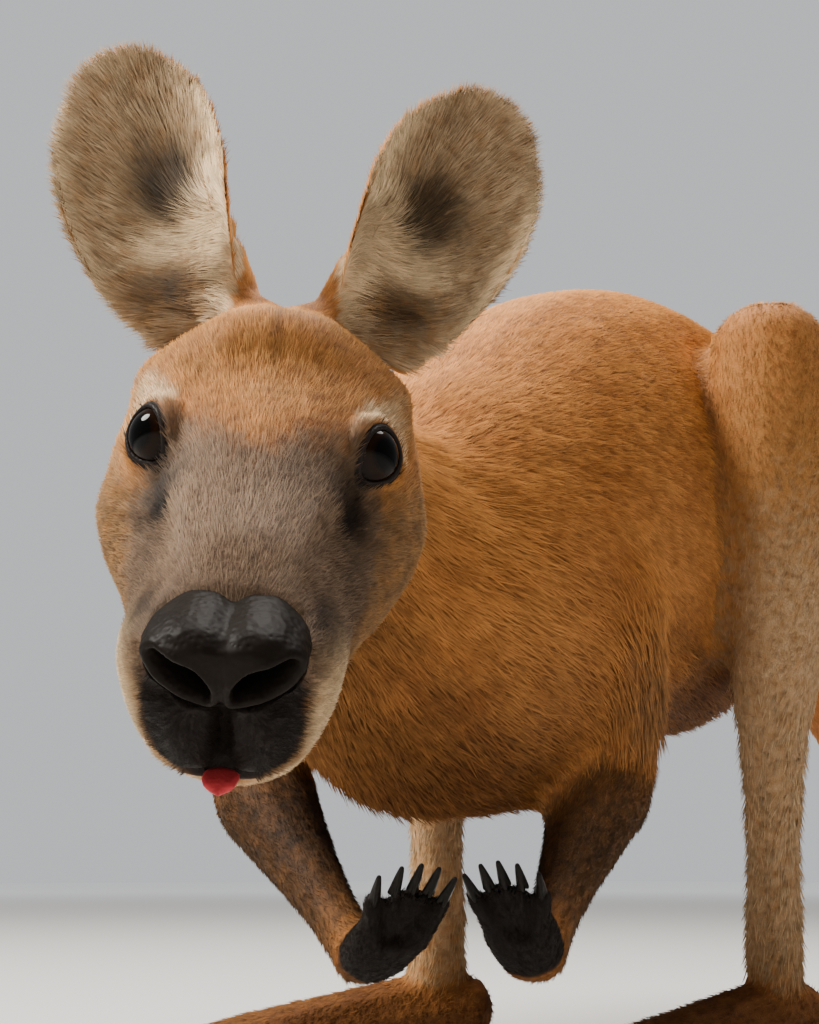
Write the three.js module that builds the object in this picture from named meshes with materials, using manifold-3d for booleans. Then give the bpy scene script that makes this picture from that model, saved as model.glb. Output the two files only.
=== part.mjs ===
// A kangaroo that leans down and sniffs forward, at life size, in millimetres with +Z up.
// It faces -Y, its left side is +X, and it stands on the plane Z = 0.
//
// Every part of the body is a tube: a closed skin round a curve, whose stations give the
// half width and the reach above and below the curve. Parts that touch are cut clear of
// each other by a thin gap, and what stands on the ground is cut flat there.

import * as THREE from "three";
import { mergeVertices } from "three/addons/utils/BufferGeometryUtils.js";
import Module from "manifold-3d";

const wasm = await Module();
wasm.setup();

// ---------------------------------------------------------------- driving dimensions

const GAP = 0.3; // between parts that touch
const ACROSS_HANDS = new THREE.Vector3(0.64, 0.77, 0); // the way that the fingers are spread
const SIDES = { left: 1, right: -1 };

// The head's own frame: x runs from the back of the skull to the nose, y to the left, z up.
const HEAD = {
  origin: new THREE.Vector3(158, -575, 296), // back of the skull
  turn: 53.5, // degrees from -Y towards +X
  dip: 39, // degrees that the nose points down
  roll: -4, // degrees that the left side is raised
};
const EYE = { x: 83, y: 34.5, z: 24, radius: 15 };
const EAR = { length: 114, lean: 25, back: 26, base: new THREE.Vector3(14, 38, 58) };
const MOUTH = { corner: { x: 124, z: -31 }, front: { x: 188, z: -43 } };

// Joints of the limbs, on each side, and the degrees that the foot is turned out.
const JOINTS = {
  left: {
    hip: new THREE.Vector3(60, 7, 500),
    knee: new THREE.Vector3(180, -192, 473),
    ankle: new THREE.Vector3(72, -99, 57),
    toesOut: -8,
    shoulder: new THREE.Vector3(130, -336, 286),
    elbow: new THREE.Vector3(97, -289, 187),
    wrist: new THREE.Vector3(138, -406, 86),
    knuckle: new THREE.Vector3(154, -434, 101),
    fingertip: new THREE.Vector3(164, -452, 122),
  },
  right: {
    hip: new THREE.Vector3(-55, -26, 500),
    knee: new THREE.Vector3(-106, -258, 480),
    ankle: new THREE.Vector3(-115, -250, 55),
    toesOut: 18,
    shoulder: new THREE.Vector3(-2, -448, 290),
    elbow: new THREE.Vector3(-51, -452, 181),
    wrist: new THREE.Vector3(91, -475, 87),
    knuckle: new THREE.Vector3(126, -483, 99),
    fingertip: new THREE.Vector3(143, -487, 120),
  },
};

// ---------------------------------------------------------------- shaping tools

const UP = new THREE.Vector3(0, 0, 1);
const FORWARD = new THREE.Vector3(0, -1, 0);
const vec = (x, y, z) => new THREE.Vector3(x, y, z);
const station = (at, wide, above, below = above) => ({ at, size: vec(wide, above, below) });

/** The point a share of the way from one point to another, moved by an offset. */
function between(start, end, share, offset = vec(0, 0, 0)) {
  return start.clone().lerp(end, share).add(offset);
}

/** A closed geometry as a solid that can be cut and joined. */
function solidOf(geometry) {
  geometry.deleteAttribute("normal");
  geometry.deleteAttribute("uv");
  const merged = mergeVertices(geometry);
  return new wasm.Manifold(
    new wasm.Mesh({
      numProp: 3,
      vertProperties: merged.attributes.position.array,
      triVerts: Uint32Array.from(merged.index.array),
    }),
  );
}

/** A solid as a geometry again. */
function geometryOf(solid) {
  const mesh = solid.getMesh();
  const geometry = new THREE.BufferGeometry();
  geometry.setAttribute("position", new THREE.BufferAttribute(mesh.vertProperties, 3));
  geometry.setIndex(new THREE.BufferAttribute(mesh.triVerts, 1));
  return geometry;
}

/**
 * A tube through its stations, as a function of how much it is grown all round.
 * It is a sphere whose rows are laid along the curve: the first and last few, as many as caps
 * says, round off the ends over the lengths in blunt, and the others are spread evenly.
 * cup(share) bends a section forward at its edges, and swells push the skin out or in.
 */
function tube(stations, options) {
  const { around, along, caps = 3, up = UP, blunt = [10, 10], cup, swells = [] } = options;
  const axis = new THREE.CatmullRomCurve3(stations.map((s) => s.at), false, "catmullrom");
  const sizes = new THREE.CatmullRomCurve3(stations.map((s) => s.size), false, "catmullrom");
  const length = axis.getLength();
  const rows = along + 2 * caps;

  const place = (row) => {
    const fromStart = Math.min(row, caps) / caps;
    const fromEnd = Math.min(rows - row, caps) / caps;
    const [a, b] = [fromStart, fromEnd].map((f) => (f * Math.PI) / 2);
    const middle = THREE.MathUtils.clamp((row - caps) / along, 0, 1);
    const distance =
      blunt[0] * (1 - Math.cos(a)) +
      (length - blunt[0] - blunt[1]) * middle +
      blunt[1] * Math.cos(b);
    return { share: distance / length, ring: Math.sin(a) * Math.sin(b), tip: Math.cos(b) - Math.cos(a) };
  };

  return (grow = 0) => {
    const geometry = new THREE.SphereGeometry(1, around, rows);
    const { position, uv } = geometry.attributes;
    for (let i = 0; i < position.count; i++) {
      const { share, ring, tip } = place(Math.round((1 - uv.getY(i)) * rows));
      const turn = Math.atan2(position.getZ(i), position.getX(i));
      const t = axis.getUtoTmapping(share);
      const size = sizes.getPoint(t);
      const tangent = axis.getTangent(t);
      const side = up.clone().cross(tangent).normalize();
      const top = tangent.clone().cross(side);
      const [c, s] = [Math.cos(turn) * ring, Math.sin(turn) * ring];
      const point = axis
        .getPoint(t)
        .addScaledVector(tangent, tip * grow)
        .addScaledVector(side, c * (size.x + grow))
        .addScaledVector(top, s * ((s > 0 ? size.y : size.z) + grow));
      if (cup) point.addScaledVector(top, cup(share) * c * c);
      for (const { at, reach, push } of swells) {
        point.addScaledVector(push, Math.exp(-at.distanceToSquared(point) / (reach * reach)));
      }
      position.setXYZ(i, point.x, point.y, point.z);
    }
    return solidOf(geometry);
  };
}

/** A ball, as a function of how much it is grown. */
function ball(centre, radius, around, rows) {
  return (grow = 0) =>
    solidOf(new THREE.SphereGeometry(radius + grow, around, rows).translate(...centre));
}

/** All the space on the side of a plane that its normal points to. */
function halfSpace(point, normal, grow = 0) {
  const size = 4000;
  const box = new THREE.BoxGeometry(size, size, size).translate(0, 0, size / 2 - grow);
  const turn = new THREE.Quaternion().setFromUnitVectors(UP, normal.clone().normalize());
  return solidOf(box.applyQuaternion(turn).translate(...point));
}

/** A solid without the room that its neighbours take up, gap included. */
const clear = (solid, ...neighbours) =>
  neighbours.reduce((rest, neighbour) => rest.subtract(neighbour(GAP)), solid);

/** The largest of a solid's separate bodies. */
const main = (solid) =>
  solid.decompose().reduce((most, body) => (body.volume() > most.volume() ? body : most));

/** Tubes joined into one solid. */
const whole = (tubes) => tubes.map((form) => form()).reduce((all, solid) => all.add(solid));
const onGround = (solid) => solid.intersect(halfSpace(vec(0, 0, 0), UP));

/** A solid parted by planes across it, from its first plane to its last, as a list. */
function parted(solid, cuts) {
  const pieces = [];
  let rest = solid;
  for (const { at, towards } of cuts) {
    pieces.push(rest.subtract(halfSpace(at, towards, GAP)));
    rest = rest.intersect(halfSpace(at, towards));
  }
  return [...pieces, rest];
}

// ---------------------------------------------------------------- head frame

const headFrame = (() => {
  const [turn, dip, roll] = [HEAD.turn, HEAD.dip, HEAD.roll].map(THREE.MathUtils.degToRad);
  const forward = vec(
    Math.sin(turn) * Math.cos(dip),
    -Math.cos(turn) * Math.cos(dip),
    -Math.sin(dip),
  );
  const left = vec(Math.cos(turn), Math.sin(turn), 0);
  const level = new THREE.Matrix4().makeBasis(forward, left, forward.clone().cross(left));
  return level.multiply(new THREE.Matrix4().makeRotationX(roll)).setPosition(HEAD.origin);
})();

const inHead = (x, y, z) => vec(x, y, z).applyMatrix4(headFrame);
const headWay = (x, y, z) => vec(x, y, z).transformDirection(headFrame);
const headUp = headWay(0, 0, 1);

// ---------------------------------------------------------------- trunk, neck and tail

const spine = tube(
  [
    station(inHead(20, 0, -4), 38, 38, 44),
    station(vec(118, -520, 286), 62, 64, 82),
    station(vec(86, -456, 280), 92, 98, 136),
    station(vec(62, -375, 318), 108, 118, 172),
    station(vec(36, -262, 388), 122, 150, 188),
    station(vec(14, -135, 435), 120, 166, 214),
    station(vec(0, -10, 452), 106, 152, 172),
    station(vec(-4, 95, 425), 82, 104, 108),
    station(vec(-4, 185, 345), 60, 68, 62),
    station(vec(-4, 290, 230), 50, 54, 48),
    station(vec(-4, 390, 118), 42, 42, 40),
    station(vec(0, 500, 44), 34, 34, 36),
    station(vec(4, 640, 26), 25, 25, 28),
    station(vec(0, 790, 18), 18, 17, 20),
    station(vec(-8, 900, 12), 11, 10, 14),
  ],
  { around: 16, along: 36, caps: 2, blunt: [10, 16] },
);

// ---------------------------------------------------------------- head

const eyeHollow = (side) => ({
  at: inHead(92, side * 46, 27),
  reach: 17,
  push: headWay(-0.4, -side * 0.85, -0.1).multiplyScalar(7),
});
const brow = (side) => ({
  at: inHead(84, side * 36, 48),
  reach: 14,
  push: headWay(0.1, side * 0.5, 0.8).multiplyScalar(3),
});

const skull = tube(
  [
    station(inHead(-20, 0, 12), 28, 28, 32),
    station(inHead(8, 0, 8), 47, 60, 58),
    station(inHead(36, 0, 0), 56, 72, 68),
    station(inHead(64, 0, -4), 59, 64, 64),
    station(inHead(90, 0, -3), 54, 48, 60),
    station(inHead(115, 0, -5), 44, 37, 56),
    station(inHead(140, 0, -8), 37, 31, 56),
    station(inHead(165, 0, -12), 34, 26, 56),
    station(inHead(185, 0, -20), 28, 21, 48),
  ],
  {
    around: 20,
    along: 17,
    up: headUp,
    blunt: [22, 12],
    swells: [eyeHollow(1), eyeHollow(-1), brow(1), brow(-1)],
  },
);

const nose = tube(
  [
    station(inHead(160, 0, 0), 14, 9, 10),
    station(inHead(174, 0, 0), 21, 13, 14),
    station(inHead(193, 0, -4), 19, 12, 14),
  ],
  { around: 14, along: 3, caps: 2, up: headUp, blunt: [6, 8] },
);
const nostril = (side) =>
  tube(
    [
      station(inHead(178, side * 9, -3), 4, 2),
      station(inHead(188, side * 12, -5), 6.5, 3),
      station(inHead(200, side * 14, -8), 8, 4.5),
    ],
    { around: 7, along: 2, caps: 1, up: headWay(0, -side * 0.5, 0.87), blunt: [3, 3] },
  );

// The lower jaw is what lies below the mouth and in front of a slope down from its corner.
const mouthCorner = inHead(MOUTH.corner.x, 0, MOUTH.corner.z);
const belowMouth = headWay(
  MOUTH.front.z - MOUTH.corner.z,
  0,
  MOUTH.corner.x - MOUTH.front.x,
);
const jawRoom = (grow = 0) =>
  halfSpace(mouthCorner, belowMouth, grow).intersect(
    halfSpace(mouthCorner, headWay(0.74, 0, -0.67), grow),
  );
const mouthTube = (grow, sizes) =>
  tube(
    sizes.map(([x, wide, high]) => station(inHead(x, 0, MOUTH.front.z + grow), wide, high)),
    { around: 8, along: 2, caps: 1, up: headUp, blunt: [3, 3] },
  );
const mouth = mouthTube(0, [[170, 8, 3], [182, 9.5, 4], [198, 10, 5]]);
const tongue = mouthTube(-1, [[172, 5, 1.6], [179, 6.5, 2.2], [185, 5.5, 1.8]]);

const eye = (side) => ball(inHead(EYE.x, side * EYE.y, EYE.z), EYE.radius, 10, 7);

function ear(side) {
  const [lean, back] = [EAR.lean, EAR.back].map(THREE.MathUtils.degToRad);
  const axis = headWay(-Math.tan(back), side * Math.tan(lean), 1);
  const root = inHead(EAR.base.x, side * EAR.base.y, EAR.base.z);
  const facing = headWay(1, side * 0.1, 0.2);
  const along = (share, forward = 0) =>
    root.clone().addScaledVector(axis, share * EAR.length).addScaledVector(facing, forward);
  return tube(
    [
      station(along(-0.12, 0), 15, 12),
      station(along(0.06, -2), 25, 8),
      station(along(0.26, -8), 31, 4),
      station(along(0.5, -11), 34, 3),
      station(along(0.74, -9), 31, 3),
      station(along(0.92, -6), 20, 3),
      station(along(1.0, -3), 9, 3),
    ],
    {
      around: 11,
      along: 7,
      caps: 2,
      up: facing,
      blunt: [6, 3],
      cup: (share) => 26 * Math.sin(Math.PI * Math.min(1, share * 1.1) ** 0.6),
    },
  );
}

// ---------------------------------------------------------------- limbs

const TOES = {
  fourth: { aside: 3, reach: 300, radius: 12, spread: 0, claws: { fourth: [0, 34] } },
  fifth: { aside: 19, reach: 255, radius: 9, spread: 6, claws: { fifth: [0, 20] } },
  inner: { aside: -17, reach: 240, radius: 7.5, spread: -2, claws: { third: [4, 14], second: [-4, 14] } },
};

function hindLimb(side) {
  const { hip, knee, ankle, toesOut } = JOINTS[side];
  const out = SIDES[side];
  const turn = THREE.MathUtils.degToRad(out * toesOut);
  const way = vec(Math.sin(turn), -Math.cos(turn), 0);
  const aside = vec(Math.cos(turn), Math.sin(turn), 0).multiplyScalar(out);
  const heel = ankle.clone().addScaledVector(way, -42);
  const ahead = (distance, height, sideways = 0) =>
    heel.clone().addScaledVector(way, distance).addScaledVector(aside, sideways).setZ(height);

  const thigh = tube(
    [
      station(between(hip, knee, -0.35), 34, 46, 60),
      station(between(hip, knee, 0.0), 54, 76, 112),
      station(between(hip, knee, 0.35), 58, 68, 148),
      station(between(hip, knee, 0.7), 52, 52, 140),
      station(between(hip, knee, 1.0), 41, 38, 84),
      station(between(hip, knee, 1.14), 28, 26, 50),
    ],
    { around: 12, along: 6, caps: 2, blunt: [26, 16] },
  );
  const shank = tube(
    [
      station(between(knee, ankle, -0.08), 34, 30, 40),
      station(between(knee, ankle, 0.08), 43, 43, 78),
      station(between(knee, ankle, 0.22), 43, 46, 88),
      station(between(knee, ankle, 0.4), 37, 40, 70),
      station(between(knee, ankle, 0.58), 25, 26, 44),
      station(between(knee, ankle, 0.78), 18, 19, 32),
      station(between(knee, ankle, 0.96), 20, 22, 34),
      station(between(knee, ankle, 1.03), 18, 20, 30),
    ],
    { around: 12, along: 10, caps: 2, up: FORWARD, blunt: [20, 12] },
  );
  const foot = tube(
    [
      station(ahead(-6, 24), 15, 20, 26),
      station(ahead(22, 30), 20, 30, 32),
      station(ahead(60, 29), 21, 28, 31),
      station(ahead(120, 24), 21, 23, 26),
      station(ahead(190, 18), 25, 17, 20),
      station(ahead(228, 14), 19, 12, 16),
    ],
    { around: 8, along: 6, caps: 2, blunt: [14, 10] },
  );
  const toes = Object.values(TOES).map(({ aside: shift, reach, radius, spread }) =>
    tube(
      [
        station(ahead(175, radius + 2, shift * 0.6), radius, radius, radius + 3.5),
        station(ahead(reach - 40, radius + 2, shift), radius * 1.1, radius, radius + 3.5),
        station(ahead(reach, radius - 1, shift + spread), radius * 0.9, radius * 0.9, radius),
      ],
      { around: 6, along: 2, caps: 1, blunt: [4, 6] },
    ),
  );
  const claws = Object.values(TOES).flatMap(({ aside: shift, reach, radius, spread, claws: nails }) =>
    Object.entries(nails).map(([name, [offset, size]]) => {
      const nail = (share, height, thick) => {
        const point = ahead(reach + share * size, height, shift + spread + offset);
        return station(point, size * thick, size * thick * 1.2);
      };
      return {
        name: `toe_claw_${name}`,
        tube: tube(
          [nail(-0.2, radius, 0.22), nail(0.5, radius, 0.17), nail(1, radius * 0.5, 0.06)],
          { around: 5, along: 1, caps: 1, blunt: [1, 1] },
        ),
      };
    }),
  );
  return { thigh, shank, foot: [foot, ...toes], claws };
}

function foreLimb(side) {
  const { shoulder, elbow, wrist, knuckle, fingertip } = JOINTS[side];
  const upperArm = tube(
    [
      station(between(shoulder, elbow, -0.35), 26, 30, 30),
      station(between(shoulder, elbow, 0.1), 40, 50, 50),
      station(between(shoulder, elbow, 0.6), 38, 44, 44),
      station(between(shoulder, elbow, 1.05), 32, 34, 34),
    ],
    { around: 12, along: 3, caps: 2, up: FORWARD, blunt: [18, 22] },
  );
  const forearm = tube(
    [
      station(between(elbow, wrist, -0.12), 26, 26, 26),
      station(between(elbow, wrist, 0.12), 34, 38, 36),
      station(between(elbow, wrist, 0.4), 28, 30, 28),
      station(between(elbow, wrist, 0.75), 19, 20, 19),
      station(between(elbow, wrist, 1.06), 16, 16, 16),
    ],
    { around: 10, along: 5, caps: 2, up: FORWARD, blunt: [14, 10] },
  );
  const palmUp = knuckle.clone().sub(wrist).normalize().cross(ACROSS_HANDS);
  const palm = tube(
    [
      station(between(wrist, knuckle, -0.1), 15, 13, 13),
      station(between(wrist, knuckle, 0.6), 18, 12, 12),
      station(between(knuckle, fingertip, 0.25), 19, 9, 9),
    ],
    { around: 8, along: 2, caps: 2, up: palmUp, blunt: [8, 8] },
  );
  const names = ["first", "second", "third", "fourth", "fifth"];
  const digits = names.map((name, i) => {
    const place = i - 2;
    const reach = 1 - 0.06 * place * place;
    const at = (share, spread) =>
      between(knuckle, fingertip, share).addScaledVector(ACROSS_HANDS, place * spread);
    const tip = at(reach, 7.5);
    const point = tip.clone().sub(at(0.3, 6.8)).normalize();
    const beyond = (distance) => tip.clone().addScaledVector(point, distance);
    return {
      name: `finger_claw_${name}`,
      finger: tube(
        [
          station(at(-0.3, 5.5), 4.6, 5.5),
          station(at(0.4, 7), 4.2, 5.5),
          station(tip, 3.6, 4.6),
        ],
        { around: 5, along: 2, caps: 1, up: palmUp, blunt: [3, 4] },
      ),
      tube: tube(
        [
          station(beyond(-3), 2.6, 3.2),
          station(beyond(6), 2, 2.6),
          station(beyond(14).add(vec(2, -2, -2)), 0.7, 0.8),
        ],
        { around: 4, along: 1, caps: 1, up: palmUp, blunt: [1, 1] },
      ),
    };
  });
  return { upperArm, forearm, hand: [palm, ...digits.map((d) => d.finger)], claws: digits };
}

// ---------------------------------------------------------------- the model

const kangaroo = new THREE.Group();

function addPart(name, solid, colour, roughness = 0.9) {
  const material = new THREE.MeshStandardMaterial({ color: colour, roughness, metalness: 0 });
  const mesh = new THREE.Mesh(geometryOf(main(solid)), material);
  mesh.name = name;
  kangaroo.add(mesh);
}

const FUR = { rust: 0xb5702f, face: 0x8d7565, leg: 0xb08a60, dark: 0x2a2320, ear: 0x94806a };

const eyes = { left: eye(1), right: eye(-1) };
const ears = { left: ear(1), right: ear(-1) };
const hind = { left: hindLimb("left"), right: hindLimb("right") };
const fore = { left: foreLimb("left"), right: foreLimb("right") };

const wholeHead = clear(skull(), nose, eyes.left, eyes.right, mouth);
addPart("head", wholeHead.subtract(jawRoom(GAP)), FUR.face);
addPart("jaw", wholeHead.intersect(jawRoom()), FUR.face);
addPart("nose", clear(nose(), nostril(1), nostril(-1)), FUR.dark, 0.4);
addPart("tongue", tongue(), 0xa8433f, 0.3);

const trunkCuts = [
  { at: vec(112, -480, 300), towards: vec(-0.35, 0.93, 0.1) },
  { at: vec(50, -300, 380), towards: vec(-0.25, 0.85, 0.45) },
  { at: vec(6, -70, 460), towards: vec(-0.08, 0.97, 0.1) },
  { at: vec(-4, 160, 370), towards: vec(0, 0.76, -0.65) },
  { at: vec(0, 430, 85), towards: vec(0, 0.85, -0.52) },
  { at: vec(4, 640, 26), towards: vec(0, 1, 0) },
];
const trunkNames = ["neck", "chest", "loins", "rump", "tail_base", "tail_middle", "tail_tip"];
const trunk = parted(clear(onGround(spine()), skull), trunkCuts);
trunk.forEach((solid, i) => addPart(trunkNames[i], solid, FUR.rust));

for (const side of Object.keys(SIDES)) {
  addPart(`eye_${side}`, eyes[side](), 0x14100e, 0.1);
  addPart(`ear_${side}`, clear(ears[side](), skull, spine), FUR.ear);

  const { thigh, shank, foot, claws: toeClaws } = hind[side];
  addPart(`thigh_${side}`, clear(thigh(), spine, shank), FUR.rust);
  addPart(`shank_${side}`, clear(shank(), spine, ...foot), FUR.leg);
  addPart(`foot_${side}`, onGround(whole(foot)), FUR.rust);
  for (const claw of toeClaws) {
    addPart(`${claw.name}_${side}`, onGround(clear(claw.tube(), ...foot)), FUR.dark, 0.4);
  }

  const { upperArm, forearm, hand, claws: fingerClaws } = fore[side];
  addPart(`upper_arm_${side}`, clear(upperArm(), spine, forearm), FUR.rust);
  addPart(`forearm_${side}`, clear(forearm(), spine, ...hand), FUR.leg);
  addPart(`hand_${side}`, whole(hand), FUR.dark);
  for (const claw of fingerClaws) {
    addPart(`${claw.name}_${side}`, clear(claw.tube(), ...hand), FUR.dark, 0.4);
  }
}

const bounds = new THREE.Box3().setFromObject(kangaroo);
const centre = bounds.getCenter(new THREE.Vector3());
kangaroo.position.set(-centre.x, -centre.y, -bounds.min.z);

export default kangaroo;
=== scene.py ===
"""A kangaroo that leans down and sniffs forward: one skin over the solids, a coat of tufts, and its
eyes, nose, tongue and claws. Lengths are in metres, and in millimetres within the head's own frame."""

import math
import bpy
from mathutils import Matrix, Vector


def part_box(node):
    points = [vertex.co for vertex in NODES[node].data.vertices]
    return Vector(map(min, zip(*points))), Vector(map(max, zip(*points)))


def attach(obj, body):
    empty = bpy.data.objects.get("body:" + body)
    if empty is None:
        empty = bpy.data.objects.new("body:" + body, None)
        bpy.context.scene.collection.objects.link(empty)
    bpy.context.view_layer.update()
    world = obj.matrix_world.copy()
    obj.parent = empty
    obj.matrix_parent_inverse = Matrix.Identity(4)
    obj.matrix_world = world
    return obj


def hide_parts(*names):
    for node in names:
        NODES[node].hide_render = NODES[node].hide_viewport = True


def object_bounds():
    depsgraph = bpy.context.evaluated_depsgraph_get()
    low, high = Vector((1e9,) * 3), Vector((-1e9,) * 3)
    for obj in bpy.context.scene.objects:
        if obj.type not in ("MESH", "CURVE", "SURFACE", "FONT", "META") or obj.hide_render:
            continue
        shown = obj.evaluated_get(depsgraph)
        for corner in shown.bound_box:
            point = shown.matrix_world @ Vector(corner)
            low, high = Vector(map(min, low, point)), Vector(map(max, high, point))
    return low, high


bl_info = {
    "name": "Sniffing Kangaroo",
    "version": (1, 0, 0),
    "blender": (4, 5, 0),
    "location": "3D View > Sidebar > Kangaroo",
    "description": "Dresses the kangaroo with its skin, coat, eyes, nose, tongue and claws",
    "category": "Add Mesh",
}

from dataclasses import dataclass

import bmesh
import bpy
import numpy as np
from bpy.props import FloatProperty, FloatVectorProperty, PointerProperty
from mathutils import Matrix, Vector
from mathutils.bvhtree import BVHTree

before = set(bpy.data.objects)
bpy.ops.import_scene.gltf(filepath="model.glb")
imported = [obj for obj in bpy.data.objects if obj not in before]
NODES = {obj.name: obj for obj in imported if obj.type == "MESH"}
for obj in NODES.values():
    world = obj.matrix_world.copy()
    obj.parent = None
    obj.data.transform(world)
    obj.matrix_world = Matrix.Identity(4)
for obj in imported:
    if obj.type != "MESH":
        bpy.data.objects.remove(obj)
CAD_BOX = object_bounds()
SIDES = {"left": 1, "right": -1}
MM = 0.001
HEAD_NODES = ("head", "jaw", "nose")
SPINE = ("neck", "chest", "loins", "rump")
MARKS = ("fawn", "grey", "cream", "dark")
FACES_KEPT = 0.155  # share of the skin's faces that stay where it is coarse
TUFT_PATCH = 0.003  # size of a tuft's patch on the bake map
SKIN_FLOOR, TUFT_FLOOR = 0.0004, 0.0006  # lowest points of the skin and of the tufts
CELL_KEYS, CELLS = (73856093, 19349663, 83492791), 65536  # for clumps of tufts
WEIGHT_STEPS = 40

# ---------------------------------------------------------------- sizes and colours


class BodySizes(bpy.types.PropertyGroup):
    """Sizes of the skin and of what grows out of it."""

    skin_grain: FloatProperty(
        name="Skin grain", description="Size of the skin's finest faces", default=0.0025, unit="LENGTH"
    )
    seam_cover: FloatProperty(
        name="Seam cover",
        description="How far each solid grows before they melt into one skin",
        default=0.0006,
        unit="LENGTH",
    )
    lid_thickness: FloatProperty(
        name="Lid thickness", description="Thickness of the eyelids' edge", default=0.0008, unit="LENGTH"
    )
    nose_grain: FloatProperty(
        name="Nose grain", description="Size of the nose's faces", default=0.0007, unit="LENGTH"
    )


class CoatSizes(bpy.types.PropertyGroup):
    """Lengths of the coat, from the face to the body."""

    muzzle: FloatProperty(name="Muzzle", description="Hair round the mouth", default=0.003, unit="LENGTH")
    face: FloatProperty(name="Face", description="Hair on the face", default=0.005, unit="LENGTH")
    ear: FloatProperty(name="Ears", description="Hair in the ears", default=0.013, unit="LENGTH")
    body: FloatProperty(name="Body", description="Hair on the trunk", default=0.018, unit="LENGTH")
    limb: FloatProperty(name="Limbs", description="Hair on shanks and arms", default=0.011, unit="LENGTH")
    paw: FloatProperty(name="Paws", description="Hair on hands and feet", default=0.006, unit="LENGTH")
    tail: FloatProperty(name="Tail", description="Hair on the tail", default=0.012, unit="LENGTH")


class CoatColours(bpy.types.PropertyGroup):
    """Colours of the coat."""

    rust: FloatVectorProperty(
        name="Rust", description="Trunk and forehead", subtype="COLOR", size=3, default=(0.54, 0.22, 0.054)
    )
    fawn: FloatVectorProperty(
        name="Fawn", description="Legs and thighs", subtype="COLOR", size=3, default=(0.48, 0.24, 0.07)
    )
    grey: FloatVectorProperty(
        name="Grey", description="Bridge of the face", subtype="COLOR", size=3, default=(0.205, 0.132, 0.08)
    )
    cream: FloatVectorProperty(
        name="Cream",
        description="Brows, lips' rim, ear band",
        subtype="COLOR",
        size=3,
        default=(0.80, 0.57, 0.33),
    )
    # Dark also serves as painted shade: on the trunk's underside, the neck, the creases before the thighs,
    # the feet, the inner forearms, the cheeks and the ears' hollows.
    dark: FloatVectorProperty(
        name="Dark", description="Muzzle and paws", subtype="COLOR", size=3, default=(0.009, 0.0055, 0.0035)
    )


class StageSizes(bpy.types.PropertyGroup):
    """The camera and the lights."""

    lens: FloatProperty(name="Lens", description="Focal length in millimetres", default=35.16)
    look_right: FloatProperty(
        name="Heading",
        description="Where the camera looks, from -X towards +Y",
        default=math.radians(40.0),
        subtype="ANGLE",
    )
    look_up: FloatProperty(
        name="Pitch", description="How far the camera looks up", default=math.radians(19.9), subtype="ANGLE"
    )
    key_power: FloatProperty(
        name="Key light", description="Power of the main light", default=26.0, unit="POWER"
    )


GROUPS = {"body": BodySizes, "coat": CoatSizes, "colours": CoatColours, "stage": StageSizes}


def sizes(name):
    return getattr(bpy.context.scene, f"kangaroo_{name}")


# ---------------------------------------------------------------- the head's own frame


def centre_of(node):
    low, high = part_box(node)
    return (low + high) / 2


class Head:
    """The head's frame: x runs from the back of the skull to the nose, y to the left, z up, in mm."""

    turn, dip, roll = (math.radians(a) for a in (53.5, 39.0, -4.0))
    eye = Vector((83, 34.5, 24))
    eye_radius = 15.0

    def __init__(self):
        forward = Vector(
            (
                math.sin(self.turn) * math.cos(self.dip),
                -math.cos(self.turn) * math.cos(self.dip),
                -math.sin(self.dip),
            )
        )
        left = Vector((math.cos(self.turn), math.sin(self.turn), 0))
        up = forward.cross(left)
        tilt = Matrix.Rotation(self.roll, 3, forward)
        self.axes = np.array([forward, tilt @ left, tilt @ up])
        middle = (centre_of("eye_left") + centre_of("eye_right")) / 2
        self.origin = np.array(middle) - (self.eye.x * self.axes[0] + self.eye.z * self.axes[2]) * MM

    def way(self, x, y, z):
        direction = np.array([x, y, z], float) @ self.axes
        return direction / np.linalg.norm(direction)

    def inside(self, points):
        """Points of the model in the head's frame, in mm."""
        return (np.asarray(points) - self.origin) @ self.axes.T / MM

    def outside(self, points):
        """Points of the head in the model's frame, in metres."""
        return np.asarray(points) @ self.axes * MM + self.origin


HEAD = Head()

# ---------------------------------------------------------------- mesh tools


def deselect():
    if bpy.context.object and bpy.context.object.mode != "OBJECT":
        bpy.ops.object.mode_set(mode="OBJECT")
    bpy.ops.object.select_all(action="DESELECT")


def pick(*objects):
    """Selects these objects only, the first as the active one."""
    deselect()
    for o in objects:
        o.select_set(True)
    bpy.context.view_layer.objects.active = objects[0]


def edit_mesh(obj, action, **values):
    """Applies one mesh or UV action to all of an object."""
    pick(obj)
    bpy.ops.object.mode_set(mode="EDIT")
    bpy.ops.mesh.select_all(action="SELECT")
    action(**values)
    bpy.ops.object.mode_set(mode="OBJECT")


def smooth_faces(obj):
    obj.data.polygons.foreach_set("use_smooth", np.ones(len(obj.data.polygons), bool))
    obj.data.update()


def new_object(name, data):
    obj = bpy.data.objects.new(name, data)
    bpy.context.scene.collection.objects.link(obj)
    return obj


def read(items, name, width=3):
    kind = np.int32 if name in ("vertices", "vertex_index") else np.float32
    values = np.empty(len(items) * width, kind)
    items.foreach_get(name, values)
    return values.reshape(-1, width) if width > 1 else values


def points_of(obj):
    return read(obj.data.vertices, "co").astype(float)


def move_points(obj, points):
    obj.data.vertices.foreach_set("co", np.asarray(points, np.float32).ravel())
    obj.data.update()


def normals_of(obj):
    obj.data.update()
    return read(obj.data.vertices, "normal").astype(float)


def new_mesh(name, points, faces):
    """A mesh object from arrays of points and of triangles."""
    mesh = bpy.data.meshes.new(name)
    mesh.vertices.add(len(points))
    mesh.vertices.foreach_set("co", np.asarray(points, np.float32).ravel())
    count = len(faces)
    mesh.loops.add(count * 3)
    mesh.loops.foreach_set("vertex_index", np.asarray(faces, np.int32).ravel())
    mesh.polygons.add(count)
    mesh.polygons.foreach_set("loop_start", np.arange(0, count * 3, 3, dtype=np.int32))
    mesh.update(calc_edges=True)
    return new_object(name, mesh)


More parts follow.
